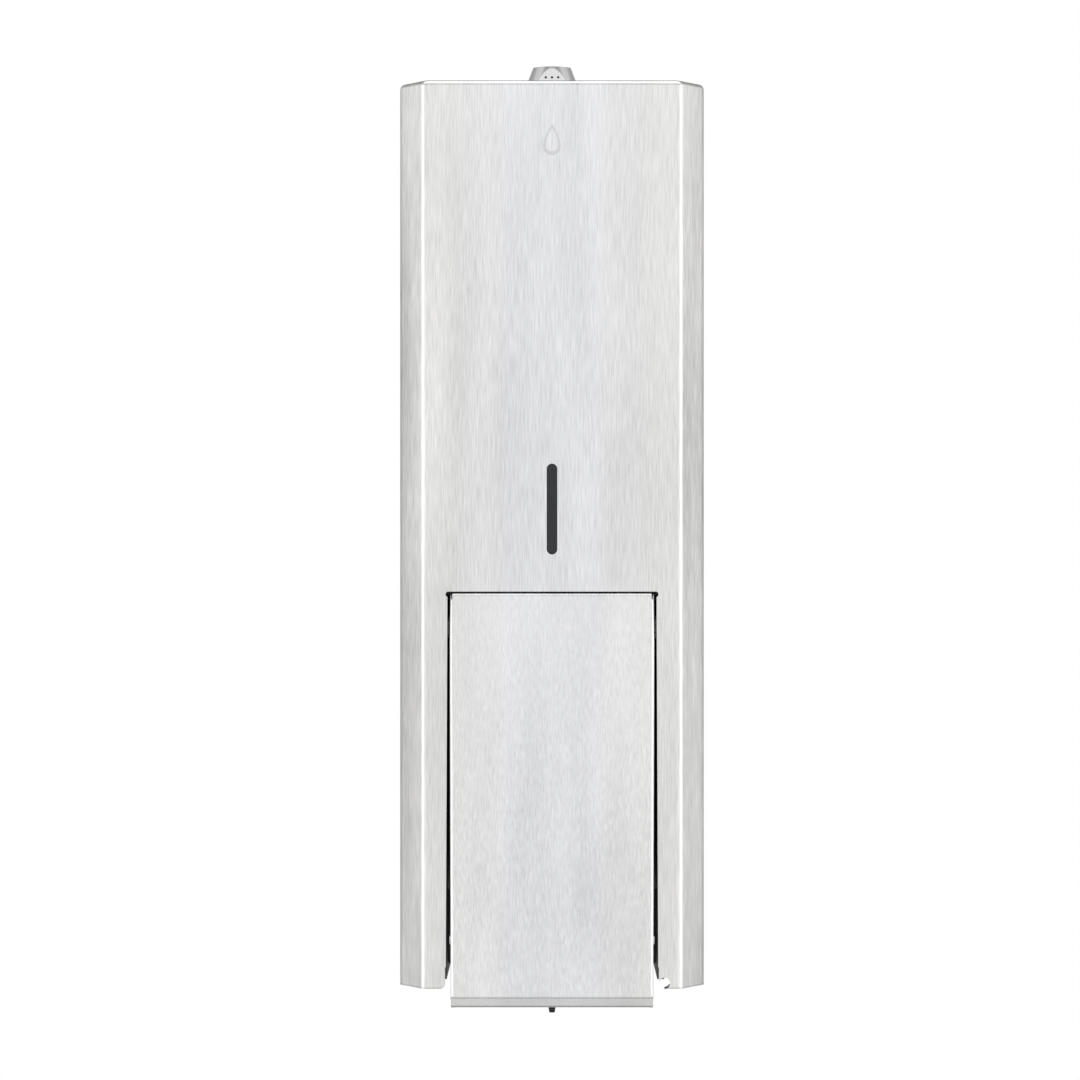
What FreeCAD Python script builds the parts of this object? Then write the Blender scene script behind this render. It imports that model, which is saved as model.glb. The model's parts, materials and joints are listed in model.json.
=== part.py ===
"""Wall mounted soap dispenser with a push lever, as a parametric FreeCAD document.

Millimetres, +Z up. The front faces -Y, the wall is the plane y = 0 and x = 0 is the middle.
The origin is the centre of the wall face. Heights of the mechanism are counted up from the
cover's bottom edge, and depths of the mechanism are counted back from the cover's front.
"""
import FreeCAD, Part
import os
from math import cos, radians, sin, sqrt, tan

import Sketcher
from FreeCAD import Placement, Rotation, Vector

# Driving dimensions. Each one is a cell of the spreadsheet with its own alias.
SIZES = {
    # whole dispenser
    "width": 110.0,
    "height": 326.0,
    "depth": 112.0,
    # folded cover
    "cover_sheet": 1.0,
    "flank_width": 8.85,
    "flank_angle": 60.44,
    "bend_radius": 3.0,
    "side_bend_radius": 4.0,
    "top_edge_radius": 2.0,
    "wall_gap": 1.0,
    "lip_width": 7.0,
    "lip_end": 30.0,
    "hinge_setback": 11.0,
    "hinge_rise": 10.0,
    "hinge_pin_radius": 2.5,
    "running_gap": 0.05,
    # lever cut-out and level slot in the cover
    "leg_width": 8.65,
    "leg_taper": 0.6,
    "cutout_rise": 142.5,
    "step_rise": 7.7,
    "step_depth": 0.25,
    "relief_radius": 1.0,
    "cutout_corner_radius": 2.0,
    "slot_width": 3.8,
    "slot_length": 32.6,
    "slot_rise": 172.1,
    # level window behind the slot
    "lens_width": 12.0,
    "lens_length": 40.0,
    "lens_thickness": 1.6,
    "retainer_sheet": 0.8,
    "retainer_width": 18.0,
    "retainer_margin": 7.0,
    "stud_radius": 1.5,
    "stud_length": 5.5,
    "stud_nut_width": 5.5,
    "stud_nut_height": 2.4,
    # back plate
    "plate_sheet": 1.5,
    "plate_side_gap": 2.0,
    "plate_end_gap": 5.0,
    "plate_flange": 18.0,
    "plate_bend_radius": 2.0,
    "wall_hole_radius": 2.75,
    "wall_hole_inset": 43.0,
    "wall_hole_spacing": 64.0,
    "hinge_head_radius": 4.0,
    "hinge_head_height": 1.0,
    "hinge_pin_short": 0.1,
    # leaf clips that hold the closed cover
    "clip_drop": 45.0,
    "clip_height": 12.0,
    "clip_sheet": 0.4,
    "clip_inset": 1.0,
    "clip_base": 12.0,
    "clip_side_gap": 0.45,
    "clip_fold_ratio": 1.5,
    "clip_ramp": 2.0,
    "clip_bow": 3.0,
    "clip_rivet_inset": 3.5,
    "rivet_radius": 1.5,
    "rivet_head": 0.6,
    "rivet_head_ratio": 1.7,
    # key lock
    "lock_setback": 56.0,
    "cone_base_radius": 10.6,
    "cone_top_radius": 7.05,
    "cone_height": 10.2,
    "cone_rim": 0.8,
    "collar_flat": 6.6,
    "collar_flat_rise": 1.5,
    "dimple_radius": 0.35,
    "dimple_depth": 0.4,
    "dimple_rise": 5.9,
    "dimple_spacing": 2.3,
    "barrel_radius": 8.0,
    "barrel_length": 16.0,
    "plug_radius": 5.4,
    "plug_recess": 0.5,
    "plug_tail": 5.0,
    "plug_shoulder": 1.0,
    "key_slot_width": 1.4,
    "key_slot_length": 6.4,
    "key_slot_depth": 3.0,
    "lock_nut_width": 22.0,
    "lock_nut_height": 4.0,
    "washer_thickness": 1.0,
    "washer_radius": 10.5,
    "cam_width": 8.0,
    "cam_length": 17.0,
    "cam_sheet": 2.0,
    "cam_drop": 2.0,
    "cam_square_ratio": 0.35,
    "cam_screw_radius": 2.0,
    "cam_screw_length": 4.0,
    "cam_screw_head_radius": 3.6,
    "cam_screw_head_height": 2.0,
    "screw_crown_ratio": 0.7,
    "screw_end_gap": 0.1,
    # striker that the lock's cam turns behind
    "striker_sheet": 2.0,
    "striker_gap": 3.0,
    "striker_width": 22.0,
    "striker_tab_width": 8.0,
    "striker_tab_drop": 9.0,
    "striker_foot": 16.0,
    "cam_clearance": 1.0,
    # soap container
    "container_wall": 2.0,
    "container_corner": 6.0,
    "container_side_gap": 7.0,
    "container_front_gap": 10.0,
    "container_back_gap": 8.0,
    "container_rise": 141.0,
    "container_headroom": 51.0,
    "well_rise": 35.0,
    "well_side_gap": 3.8,
    "outlet_radius": 2.5,
    "skirt_gap": 0.4,
    "skirt_wall": 2.6,
    "skirt_height": 4.0,
    "neck_radius": 22.0,
    "neck_wall": 2.0,
    "neck_height": 10.0,
    "neck_setback": 62.0,
    # filler cap
    "cap_gap": 0.4,
    "cap_wall": 2.4,
    "cap_roof": 2.6,
    "cap_skirt": 9.0,
    "cap_ribs": 24.0,
    "cap_rib_radius": 0.9,
    "cap_seal_thickness": 1.2,
    # black carrier between back plate, container and lever
    "cheek_gap": 1.35,
    "cheek_thickness": 2.5,
    "cheek_front": 7.0,
    "carrier_rise": 2.0,
    "shelf_thickness": 2.5,
    "shelf_front": 24.0,
    "shelf_gap": 0.6,
    "bulkhead_thickness": 2.6,
    "bulkhead_low": 6.0,
    "bulkhead_high": 33.0,
    "foot_width": 8.6,
    "foot_thickness": 2.5,
    "foot_rise": 8.0,
    "cheek_shoulder": 4.0,
    "cheek_foot_rise": 9.0,
    "cheek_foot_setback": 8.0,
    "bulkhead_hole_gap": 0.2,
    "carrier_screw_radius": 2.0,
    "carrier_screw_head": 3.8,
    "carrier_screw_head_height": 2.2,
    "carrier_screw_low": 23.0,
    "carrier_screw_high": 113.0,
    # push lever
    "lever_tilt": 7.0,
    "lever_gap": 0.75,
    "lever_top_gap": 0.3,
    "lever_drop": 4.6,
    "lever_sheet": 1.2,
    "lever_taper": 0.8,
    "lever_side_depth": 14.0,
    "lever_lip": 6.0,
    "lever_low_lip": 3.4,
    "lip_root_ratio": 0.8,
    "lip_angle": 45.0,
    "lever_top_radius": 1.3,
    "lever_side_radius": 1.5,
    "lever_slit_width": 0.4,
    "lever_slit_height": 2.5,
    "lever_slit_inset": 0.6,
    "lever_tail": 11.0,
    "lever_tail_half": 4.0,
    "lever_tail_flare": 1.5,
    "lever_tail_run": 3.0,
    "lever_axis_setback": 14.0,
    "lever_axis_rise": 129.5,
    "axle_radius": 2.5,
    "axle_overhang": 2.0,
    "axle_groove": 0.6,
    "bush_radius": 4.0,
    "bush_flange_radius": 5.5,
    "bush_flange": 1.0,
    "bush_seat_gap": 0.1,
    "bush_end_gap": 0.3,
    "clip_ring_thickness": 0.8,
    "clip_ring_ratio": 2.1,
    "clip_ring_mouth_ratio": 0.8,
    "clip_ring_play": 0.1,
    "axle_clip_gap": 0.2,
    "bumper_radius": 2.5,
    "bumper_inset": 3.0,
    "bumper_proud": 0.5,
    "contact_gap": 0.3,
    # cross pin and pusher roller low down in the lever
    "cross_pin_depth": 8.0,
    "cross_pin_drop": 113.0,
    "cross_pin_radius": 1.5,
    "cross_pin_proud": 0.6,
    "cross_pin_groove": 0.4,
    "roller_radius": 6.0,
    "roller_width": 15.0,
    "roller_chamfer": 0.8,
    # pump
    "pump_rise": 19.0,
    "pump_setback": 32.0,
    "pump_bore": 5.2,
    "pump_wall": 2.3,
    "pump_chamber": 32.5,
    "pump_nose_radius": 3.0,
    "pump_nose": 6.0,
    "pump_end": 2.0,
    "pump_flange_radius": 12.0,
    "pump_flange": 3.0,
    "pump_ear_reach": 17.0,
    "pump_ear_half": 4.5,
    "pump_ear_corner": 3.0,
    "pump_screw_spread": 13.0,
    "pump_screw_radius": 1.5,
    "pump_screw_head_radius": 2.8,
    "pump_screw_head": 1.6,
    "pump_screw_length": 5.6,
    "boss_radius": 6.5,
    "cage_radius": 3.6,
    "cage_floor": 7.0,
    "port_radius": 1.8,
    "ball_radius": 3.0,
    "ball_lift": 2.8,
    "ball_travel": 1.2,
    "seat_radius": 2.0,
    "seat_thickness": 1.5,
    "gasket_thickness": 0.9,
    "gasket_radius": 6.4,
    "gasket_hole_margin": 1.0,
    "outlet_boss_radius": 4.0,
    "outlet_boss_length": 3.5,
    "gland_head_radius": 6.5,
    "gland_head": 4.0,
    "gland_thread": 6.0,
    "o_ring_wire": 1.0,
    # plunger
    "rod_radius": 3.0,
    "head_radius": 10.0,
    "head_thickness": 3.0,
    "head_boss": 3.0,
    "head_boss_radius": 5.5,
    "head_socket": 1.0,
    "head_chamfer": 1.0,
    "rod_end": 17.5,
    "piston_radius": 4.8,
    "piston_groove": 3.4,
    "piston_lip": 1.5,
    "seal_length": 3.5,
    "spring_wire": 1.2,
    "spring_radius": 8.0,
    "spring_turns": 5.0,
    "spring_segment": 0.5,
    "spring_play": 0.1,
    # spout
    "tube_radius": 1.8,
    "tube_bore": 1.1,
    "tube_socket": 3.0,
    "tube_bend": 4.0,
    "tube_straight": 0.7,
    "spout_setback": 28.0,
    "tube_drop": 6.0,
    "tip_drop": 11.4,
    "tip_sleeve": 3.0,
    "tip_sleeve_radius": 2.7,
    "tip_radius": 1.35,
    "tip_end_radius": 1.0,
    "tip_slit": 0.4,
    "tip_slit_start": 2.0,
    "tip_shoulder": 1.5,
    "tip_cone": 1.8,
    "spout_nut_width": 11.0,
    "spout_nut_floor": 1.3,
}

LEFT, RIGHT = 1, -1
UPWARD = Rotation()
FORWARD = Rotation(Vector(1, 0, 0), 90)
BACKWARD = Rotation(Vector(1, 0, 0), -90)
SIDEWAYS = Rotation(Vector(0, 1, 0), 90)
FRONT_AND_UP = Rotation(Vector(0, -1, 0), Vector(0, 0, 1), Vector(-1, 0, 0), "XYZ")
DOWN_AND_BACK = Rotation(Vector(0, 0, -1), Vector(0, 1, 0), Vector(1, 0, 0), "XYZ")

PAST = 1.0  # how far a cutting outline runs past the piece

doc = FreeCAD.newDocument("soap_dispenser")
nodes = []


class Size:
    """A number together with the spreadsheet formula that it comes from."""

    def __init__(self, value, text=None):
        self.value = float(value)
        self.text = text or (f"{self.value:.9g}" if value >= 0 else f"({self.value:.9g})")

    def __add__(self, other):
        other = size(other)
        return Size(self.value + other.value, f"({self.text} + {other.text})")

    def __sub__(self, other):
        other = size(other)
        return Size(self.value - other.value, f"({self.text} - {other.text})")

    def __mul__(self, other):
        other = size(other)
        return Size(self.value * other.value, f"({self.text} * {other.text})")

    def __truediv__(self, other):
        other = size(other)
        return Size(self.value / other.value, f"({self.text} / {other.text})")

    def __rsub__(self, other):
        return size(other) - self

    def __neg__(self):
        return Size(-self.value, f"(-{self.text})")

    __radd__ = __add__
    __rmul__ = __mul__


def size(number):
    return number if isinstance(number, Size) else Size(number)


def sine(angle):
    return Size(sin(radians(angle.value)), f"sin({angle.text})")


def cosine(angle):
    return Size(cos(radians(angle.value)), f"cos({angle.text})")


def tangent(angle):
    return Size(tan(radians(angle.value)), f"tan({angle.text})")


class Cells:
    """The spreadsheet's cells as Size values: cells.width and so on."""

    def __init__(self):
        sheet = doc.addObject("Spreadsheet::Sheet", "Sizes")
        for row, (alias, number) in enumerate(SIZES.items(), start=1):
            sheet.set(f"A{row}", alias.replace("_", " "))
            sheet.set(f"B{row}", str(number))
            sheet.setAlias(f"B{row}", alias)
            setattr(self, alias, Size(number, f"Sizes.{alias}"))


c = Cells()
doc.recompute()


# ---- drawing and feature helpers ----------------------------------------------------------------

def bind(thing, **values):
    """Binds properties such as Radius or Length to the sheet."""
    for name, value in values.items():
        thing.setExpression(name, size(value).text)
    return thing


def put(thing, across=0, away=0, up=0, turn=UPWARD):
    """Places a body or primitive at (x, y, z), each bound to the sheet."""
    spot = [size(value) for value in (across, away, up)]
    thing.Placement = Placement(Vector(*[value.value for value in spot]), turn)
    for axis, value in zip("xyz", spot):
        thing.setExpression(f"Placement.Base.{axis}", value.text)
    return thing


def node(thing, label):
    thing.Label = label
    nodes.append(thing)
    return thing


def new_body(name):
    return doc.addObject("PartDesign::Body", name)


def sketch_on(body, plane, offset):
    """A sketch on one of the body's own planes, moved along its normal: XY +Z, XZ -Y, YZ +X."""
    drawing = body.newObject("Sketcher::SketchObject", f"{body.Name}_sketch")
    role = f"{plane}_Plane"
    base = [feature for feature in body.Origin.OriginFeatures if feature.Role == role][0]
    drawing.AttachmentSupport = [(base, "")]
    drawing.MapMode = "FlatFace"
    offset = size(offset)
    drawing.AttachmentOffset = Placement(Vector(0, 0, offset.value), Rotation())
    drawing.setExpression("AttachmentOffset.Base.z", offset.text)
    return drawing


def pin_down(drawing, kind, geometry, *values):
    """Adds one dimension to the sketch and binds it to the sheet."""
    *places, value = values
    number = drawing.addConstraint(Sketcher.Constraint(kind, *geometry, *places, value.value))
    drawing.setExpression(f"Constraints[{number}]", value.text)


def add_circle(drawing, across, up, radius):
    across, up, radius = size(across), size(up), size(radius)
    round_line = Part.Circle(Vector(across.value, up.value, 0), Vector(0, 0, 1), radius.value)
    number = drawing.addGeometry(round_line, False)
    pin_down(drawing, "DistanceX", (-1, 1, number, 3), across)
    pin_down(drawing, "DistanceY", (-1, 1, number, 3), up)
    pin_down(drawing, "Radius", (number,), radius)


def arc_between(start, end, radius, side):
    """The short arc from start to end with its centre on the given side of the way there."""
    way = end - start
    reach = sqrt(max(radius ** 2 - (way.Length / 2) ** 2, 0))
    across = Vector(-way.y, way.x, 0).normalize() * side
    middle = (start + end) / 2 + across * reach
    return Part.Arc(start, middle - across * radius, end)


def add_path(drawing, corners, closed=True):
    """Lines and arcs through the corners. A corner is (across, up), or (across, up, radius, side)
    when a quarter or half circle arrives there, with its centre on that side, LEFT or RIGHT."""
    corners = [tuple(size(value) for value in corner[:3]) + corner[3:] for corner in corners]
    spots = [Vector(corner[0].value, corner[1].value, 0) for corner in corners]
    first_edge = 0 if closed else 1
    edges = []
    for index in range(first_edge, len(corners)):
        start, end, corner = spots[index - 1], spots[index], corners[index]
        if len(corner) == 2:
            number = drawing.addGeometry(Part.LineSegment(start, end), False)
            edges.append((number, 1, 2))
            continue
        arc = arc_between(start, end, corner[2].value, corner[3])
        number = drawing.addGeometry(arc, False)
        ahead = (drawing.Geometry[number].StartPoint - start).Length < 1e-6
        edges.append((number, 1, 2) if ahead else (number, 2, 1))
        # the radius follows from the ends, so the arc's centre is set
        half_round = (end - start).Length > 2 * corner[2].value - 1e-6
        upright = abs(end.y - start.y) > abs(end.x - start.x)
        kind, which = ("DistanceY", 1) if half_round and not upright else ("DistanceX", 0)
        centre = (corners[index - 1][which] + corner[which]) / 2
        if not half_round:
            centre = next(place[0] for place in (corners[index - 1], corner)
                          if near(place[0].value, drawing.Geometry[number].Center.x))
        pin_down(drawing, kind, (-1, 1, number, 3), centre)
    for index, (number, begin, end) in enumerate(edges):
        if closed or index:
            before, _, its_end = edges[index - 1]
            drawing.addConstraint(Sketcher.Constraint("Coincident", before, its_end, number, begin))
        corner = corners[first_edge + index]
        pin_down(drawing, "DistanceX", (-1, 1, number, end), corner[0])
        pin_down(drawing, "DistanceY", (-1, 1, number, end), corner[1])
    if not closed:
        number, begin, _ = edges[0]
        pin_down(drawing, "DistanceX", (-1, 1, number, begin), corners[0][0])
        pin_down(drawing, "DistanceY", (-1, 1, number, begin), corners[0][1])


def draw(body, plane, offset, shapes):
    """Circles are (across, up, radius) and every other shape is a list of corners."""
    drawing = sketch_on(body, plane, offset)
    for shape in shapes:
        if isinstance(shape, tuple):
            add_circle(drawing, *shape)
        else:
            add_path(drawing, shape)
    return drawing


def block(low_across, low_up, high_across, high_up):
    return [(low_across, low_up), (high_across, low_up), (high_across, high_up), (low_across, high_up)]


def soft_block(low_across, low_up, high_across, high_up, radius):
    """A rectangle with rounded corners."""
    return [
        (high_across - radius, low_up), (high_across, low_up + radius, radius, LEFT),
        (high_across, high_up - radius), (high_across - radius, high_up, radius, LEFT),
        (low_across + radius, high_up), (low_across, high_up - radius, radius, LEFT),
        (low_across, low_up + radius), (low_across + radius, low_up, radius, LEFT)]


def extrude(kind, body, plane, low, high, shapes):
    low, high = size(low), size(high)
    feature = body.newObject(f"PartDesign::{kind}", f"{body.Name}_{kind.lower()}")
    feature.Profile = draw(body, plane, low, shapes)
    feature.Length = high.value - low.value
    feature.setExpression("Length", (high - low).text)
    return feature


def pad(body, plane, low, high, *shapes):
    """Adds material between two distances along the plane's normal."""
    extrude("Pad", body, plane, low, high, shapes)


def checked_cut(body, make):
    """Makes a cutting feature and makes sure that it takes material away."""
    doc.recompute()
    before = body.Tip.Shape.Volume
    make()
    doc.recompute()
    if body.Tip.Shape.Volume > before - 1e-3:
        raise RuntimeError(f"a cut in {body.Name} takes nothing away")


def pocket(body, plane, low, high, *shapes):
    """Removes material between two distances along the plane's normal."""
    def make():
        extrude("Pocket", body, plane, low, high, shapes).Reversed = True
    checked_cut(body, make)


def revolve(body, plane, axis, shape, kind="Revolution"):
    """Turns an outline round the sketch's own H_Axis or V_Axis."""
    feature = body.newObject(f"PartDesign::{kind}", f"{body.Name}_{kind.lower()}")
    feature.Profile = draw(body, plane, 0, [shape])
    feature.ReferenceAxis = (feature.Profile[0], [axis])
    feature.Angle = 360
    return feature


def groove(body, plane, axis, shape):
    checked_cut(body, lambda: revolve(body, plane, axis, shape, "Groove"))


def round_edges(body, radius, wanted):
    """Fillets the edges of the body that the test picks out."""
    doc.recompute()
    base = body.Tip
    names = [f"Edge{number}" for number, edge in enumerate(base.Shape.Edges, start=1) if wanted(edge)]
    if not names:
        raise RuntimeError(f"no edge to round in {body.Name}")
    fillet = body.newObject("PartDesign::Fillet", f"{body.Name}_fillet")
    fillet.Base = (base, names)
    bind(fillet, Radius=radius)
    doc.recompute()


def along(edge, axis):
    """True for a straight edge that runs along x, y or z."""
    box = edge.BoundBox
    spans = {"x": box.XLength, "y": box.YLength, "z": box.ZLength}
    rest = sum(span for name, span in spans.items() if name != axis)
    return spans[axis] > 1e-3 and rest < 1e-3


def near(value, target):
    return abs(value - size(target).value) < 1e-3


def cylinder(name, radius, length):
    return bind(doc.addObject("Part::Cylinder", name), Radius=radius, Height=length)


def quarter_bend(name, bend_radius, radius):
    """A quarter of a ring: from the turned +X round to the turned +Y, about the turned +Z."""
    return bind(doc.addObject("Part::Torus", name), Radius1=bend_radius, Radius2=radius, Angle3=90)


def hexagon(name, across_flats, height):
    prism = doc.addObject("Part::Prism", name)
    prism.Polygon = 6
    return bind(prism, Circumradius=size(across_flats) / Size(sqrt(3)), Height=height)


def cut(name, base, tool):
    result = doc.addObject("Part::Cut", name)
    result.Base, result.Tool = base, tool
    return result


def fuse(name, *pieces):
    result = doc.addObject("Part::MultiFuse", name)
    result.Shapes = list(pieces)
    return result


def group(name, pieces):
    """Separate solids that share one node."""
    result = doc.addObject("Part::Compound", f"{name}_group")
    result.Links = list(pieces)
    return node(result, name)


def mirror(piece):
    """The same piece on the other side of x = 0."""
    result = doc.addObject("Part::Mirroring", f"{piece.Name}_mirrored")
    result.Source = piece
    result.Normal = Vector(1, 0, 0)
    return result


def screw(name, radius, length, head_radius, head_height, spot, turn):
    """A round headed screw or rivet. Its axis starts under the head and runs along the turned +Z."""
    across, away, up = spot
    shank = cylinder(f"{name}_shank", radius, length)
    head = bind(doc.addObject("Part::Cone", f"{name}_head"),
                Radius1=size(head_radius) * c.screw_crown_ratio, Radius2=head_radius, Height=head_height)
    put(head, 0, 0, -size(head_height))
    whole = fuse(name, shank, head)
    return put(whole, across, away, up, turn)


# ---- places that several pieces share -----------------------------------------------------------

half_width = c.width / 2
top = c.height / 2
bottom = -c.height / 2
front = -c.depth
flat_half = half_width - c.flank_width
flank_depth = c.flank_width * tangent(c.flank_angle)
inner_half = half_width - c.cover_sheet

cutout_top = bottom + c.cutout_rise
cutout_half = flat_half - c.leg_width
cutout_low_half = cutout_half + c.leg_taper
slot_middle = bottom + c.slot_rise

hinge_away = -c.hinge_setback
hinge_up = bottom + c.hinge_rise
plate_half = inner_half - c.plate_side_gap
plate_top = top - c.plate_end_gap
plate_bottom = bottom + c.plate_end_gap

lock_away = front + c.lock_setback
barrel_end = top - c.barrel_length
cam_top = barrel_end - c.cam_drop
striker_low = cam_top + c.striker_gap

container_low = bottom + c.container_rise
container_top = top - c.container_headroom
container_half = half_width - c.container_side_gap
container_front = front + c.container_front_gap
container_back = -c.container_back_gap
neck_away = front + c.neck_setback
neck_top = container_top + c.neck_height
lid_low = container_top - c.container_wall

lever_half = cutout_half - c.lever_gap
cheek_in = lever_half + c.cheek_gap
cheek_out = cheek_in + c.cheek_thickness
axis_away = front + c.lever_axis_setback
axis_up = bottom + c.lever_axis_rise
lever_turn = Rotation(Vector(1, 0, 0), -c.lever_tilt.value)
lean_sine = sine(c.lever_tilt)
lean_cosine = cosine(c.lever_tilt)

pump_away = front + c.pump_setback
pump_up = bottom + c.pump_rise
port_away = c.pump_chamber + c.pump_nose / 2
inlet_away = pump_away + port_away
well_low = bottom + c.well_rise
well_half = cheek_in - c.well_side_gap
well_front = pump_away
boss_top = well_low - c.gasket_thickness - pump_up
outlet_drop = c.pump_bore + c.pump_wall + c.outlet_boss_length


def leaned(depth, rise):
    """Where a point of the leaning lever, given from its axis, lies: (away, up)."""
    away = axis_away + depth * lean_cosine + rise * lean_sine
    up = axis_up - depth * lean_sine + rise * lean_cosine
    return away, up


roller_away, roller_up = leaned(c.cross_pin_depth - c.lever_axis_setback, -c.cross_pin_drop)
plunger_front = roller_away + c.roller_radius + c.contact_gap


# ---- cover --------------------------------------------------------------------------------------

def cover_shell():
    body = new_body("cover_shell")
    rear = -c.wall_gap
    pad(body, "XY", bottom, top, [
        (-half_width, rear), (-half_width, front + flank_depth), (-flat_half, front),
        (flat_half, front), (half_width, front + flank_depth), (half_width, rear)])
    round_edges(body, c.bend_radius, lambda e: along(e, "z") and near(e.BoundBox.YMin, front))
    round_edges(body, c.side_bend_radius,
                lambda e: along(e, "z") and near(e.BoundBox.YMin, front + flank_depth))
    round_edges(body, c.top_edge_radius,
                lambda e: near(e.BoundBox.ZMin, top) and e.BoundBox.YMin < front.value / 2)
    # hollow, with the same bends one sheet further in
    sheet = c.cover_sheet
    flank = Size(sqrt(c.flank_width.value ** 2 + flank_depth.value ** 2),
                 f"sqrt({c.flank_width.text} ^ 2 + {flank_depth.text} ^ 2)")
    inner_front = front + sheet
    inner_flat = flat_half - sheet * (flank - c.flank_width) / flank_depth
    inner_flank = front + flank_depth + sheet * (flank - flank_depth) / c.flank_width
    pocket(body, "XY", bottom + sheet, top - sheet, [
        (-inner_half, 0), (-inner_half, inner_flank), (-inner_flat, inner_front),
        (inner_flat, inner_front), (inner_half, inner_flank), (inner_half, 0)])
    round_edges(body, c.bend_radius - sheet,
                lambda e: along(e, "z") and near(e.BoundBox.YMin, inner_front))
    round_edges(body, c.side_bend_radius - sheet,
                lambda e: along(e, "z") and near(e.BoundBox.YMin, inner_flank))

    floor_top = bottom + c.cover_sheet
    lip_half = half_width - c.lip_width
    lip_front = front + c.lip_width
    lip_back = -c.lip_end
    pocket(body, "XY", bottom - PAST, floor_top, [
        (-inner_half, lip_back), (-lip_half, lip_back), (-lip_half, front + flank_depth),
        (-flat_half, lip_front), (flat_half, lip_front), (lip_half, front + flank_depth),
        (lip_half, lip_back), (inner_half, lip_back), (inner_half, 0), (-inner_half, 0)])
    # rear corners are round about the hinge, so that they clear the wall
    round_edges(body, c.hinge_setback - c.wall_gap, lambda e: along(e, "x")
                and near(e.BoundBox.YMin, rear) and near(e.BoundBox.ZMin, bottom))

    ahead = c.depth + PAST
    behind = c.depth - c.lip_width - 2
    step_half = cutout_low_half + c.step_depth
    pocket(body, "XZ", behind, ahead, [
        (-step_half, bottom - PAST), (step_half, bottom - PAST), (step_half, bottom + c.step_rise),
        (cutout_low_half, bottom + c.step_rise), (cutout_half, cutout_top),
        (-cutout_half, cutout_top), (-cutout_low_half, bottom + c.step_rise),
        (-step_half, bottom + c.step_rise)])
    corner = c.cutout_corner_radius
    for side, centre_side in ((-1, LEFT), (1, RIGHT)):
        pocket(body, "XZ", behind, ahead, (
            side * (cutout_half - c.relief_radius / 3), cutout_top - c.relief_radius,
            c.relief_radius))
        pocket(body, "XZ", behind, ahead, [
            (side * step_half, bottom - PAST), (side * (step_half + corner), bottom - PAST),
            (side * (step_half + corner), bottom),
            (side * step_half, bottom + corner, corner, centre_side)])
    slot_half = c.slot_width / 2
    slot_reach = c.slot_length / 2 - slot_half
    pocket(body, "XZ", behind, ahead, [
        (-slot_half, slot_middle - slot_reach), (slot_half, slot_middle - slot_reach, slot_half, LEFT),
        (slot_half, slot_middle + slot_reach), (-slot_half, slot_middle + slot_reach, slot_half, LEFT)])
    pocket(body, "XY", top - 2 * c.cover_sheet, top + PAST, (0, lock_away, c.barrel_radius))
    for low, high in ((-half_width - PAST, -inner_half + PAST), (inner_half - PAST, half_width + PAST)):
        pocket(body, "YZ", low, high, (
            hinge_away, hinge_up, c.hinge_pin_radius + c.running_gap))
    return node(body, "cover_shell")


def window():
    """Dark lens behind the slot, its retainer, and the welded studs and nuts that hold it."""
    inside = c.depth - c.cover_sheet
    lens_back = inside - c.lens_thickness
    lens_half, lens_reach = c.lens_width / 2, c.lens_length / 2
    lens = new_body("window_lens")
    pad(lens, "XZ", lens_back, inside,
        block(-lens_half, slot_middle - lens_reach, lens_half, slot_middle + lens_reach))
    node(lens, "window_lens")

    stud_rise = lens_reach + c.retainer_margin / 2
    plate_reach = lens_reach + c.retainer_margin
    retainer = new_body("window_retainer")
    plate_back = lens_back - c.retainer_sheet
    pad(retainer, "XZ", plate_back, lens_back,
        soft_block(-c.retainer_width / 2, slot_middle - plate_reach,
                   c.retainer_width / 2, slot_middle + plate_reach, c.retainer_margin / 3))
    pocket(retainer, "XZ", plate_back, lens_back,
           block(-c.slot_width, slot_middle - c.slot_length / 2,
                 c.slot_width, slot_middle + c.slot_length / 2),
           (0, slot_middle - stud_rise, c.stud_radius),
           (0, slot_middle + stud_rise, c.stud_radius))
    node(retainer, "window_retainer")

    studs, nuts = [], []
    for name, rise in (("lower", -stud_rise), ("upper", stud_rise)):
        stud = cylinder(f"{name}_stud", c.stud_radius, c.stud_length)
        studs.append(put(stud, 0, -inside, slot_middle + rise, BACKWARD))
        blank = hexagon(f"{name}_stud_nut_blank", c.stud_nut_width, c.stud_nut_height)
        bore = cylinder(f"{name}_stud_nut_bore", c.stud_radius, c.stud_nut_height)
        nut = cut(f"{name}_stud_nut", blank, bore)
        nuts.append(put(nut, 0, -plate_back, slot_middle + rise, BACKWARD))
    group("window_studs", studs)
    group("stud_nuts", nuts)


# ---- wall side sheet metal ----------------------------------------------------------------------

def back_plate():
    body = new_body("back_plate")
    inside = plate_half - c.plate_sheet
    pad(body, "XY", plate_bottom, plate_top, [
        (-plate_half, 0), (-plate_half, -c.plate_flange), (-inside, -c.plate_flange),
        (-inside, -c.plate_sheet), (inside, -c.plate_sheet), (inside, -c.plate_flange),
        (plate_half, -c.plate_flange), (plate_half, 0)])
    round_edges(body, c.plate_bend_radius, lambda e: along(e, "z") and near(e.BoundBox.YMin, 0))
    hole_across = c.wall_hole_spacing / 2
    holes = [(side * hole_across, plate_top - c.wall_hole_inset, c.wall_hole_radius)
             for side in (-1, 1)]
    holes += [(side * hole_across, plate_bottom + c.wall_hole_inset, c.wall_hole_radius)
              for side in (-1, 1)]
    holes += [(across, up, c.carrier_screw_radius) for across, up in carrier_screw_spots()]
    holes += [(across, up, c.rivet_radius) for across, up in striker_rivet_spots()]
    pocket(body, "XZ", 0, c.plate_sheet, *holes)
    pocket(body, "YZ", -plate_half - PAST, plate_half + PAST,
           (hinge_away, hinge_up, c.hinge_pin_radius), (clip_rivet_away(), clip_middle(), c.rivet_radius))
    return node(body, "back_plate")


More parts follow.
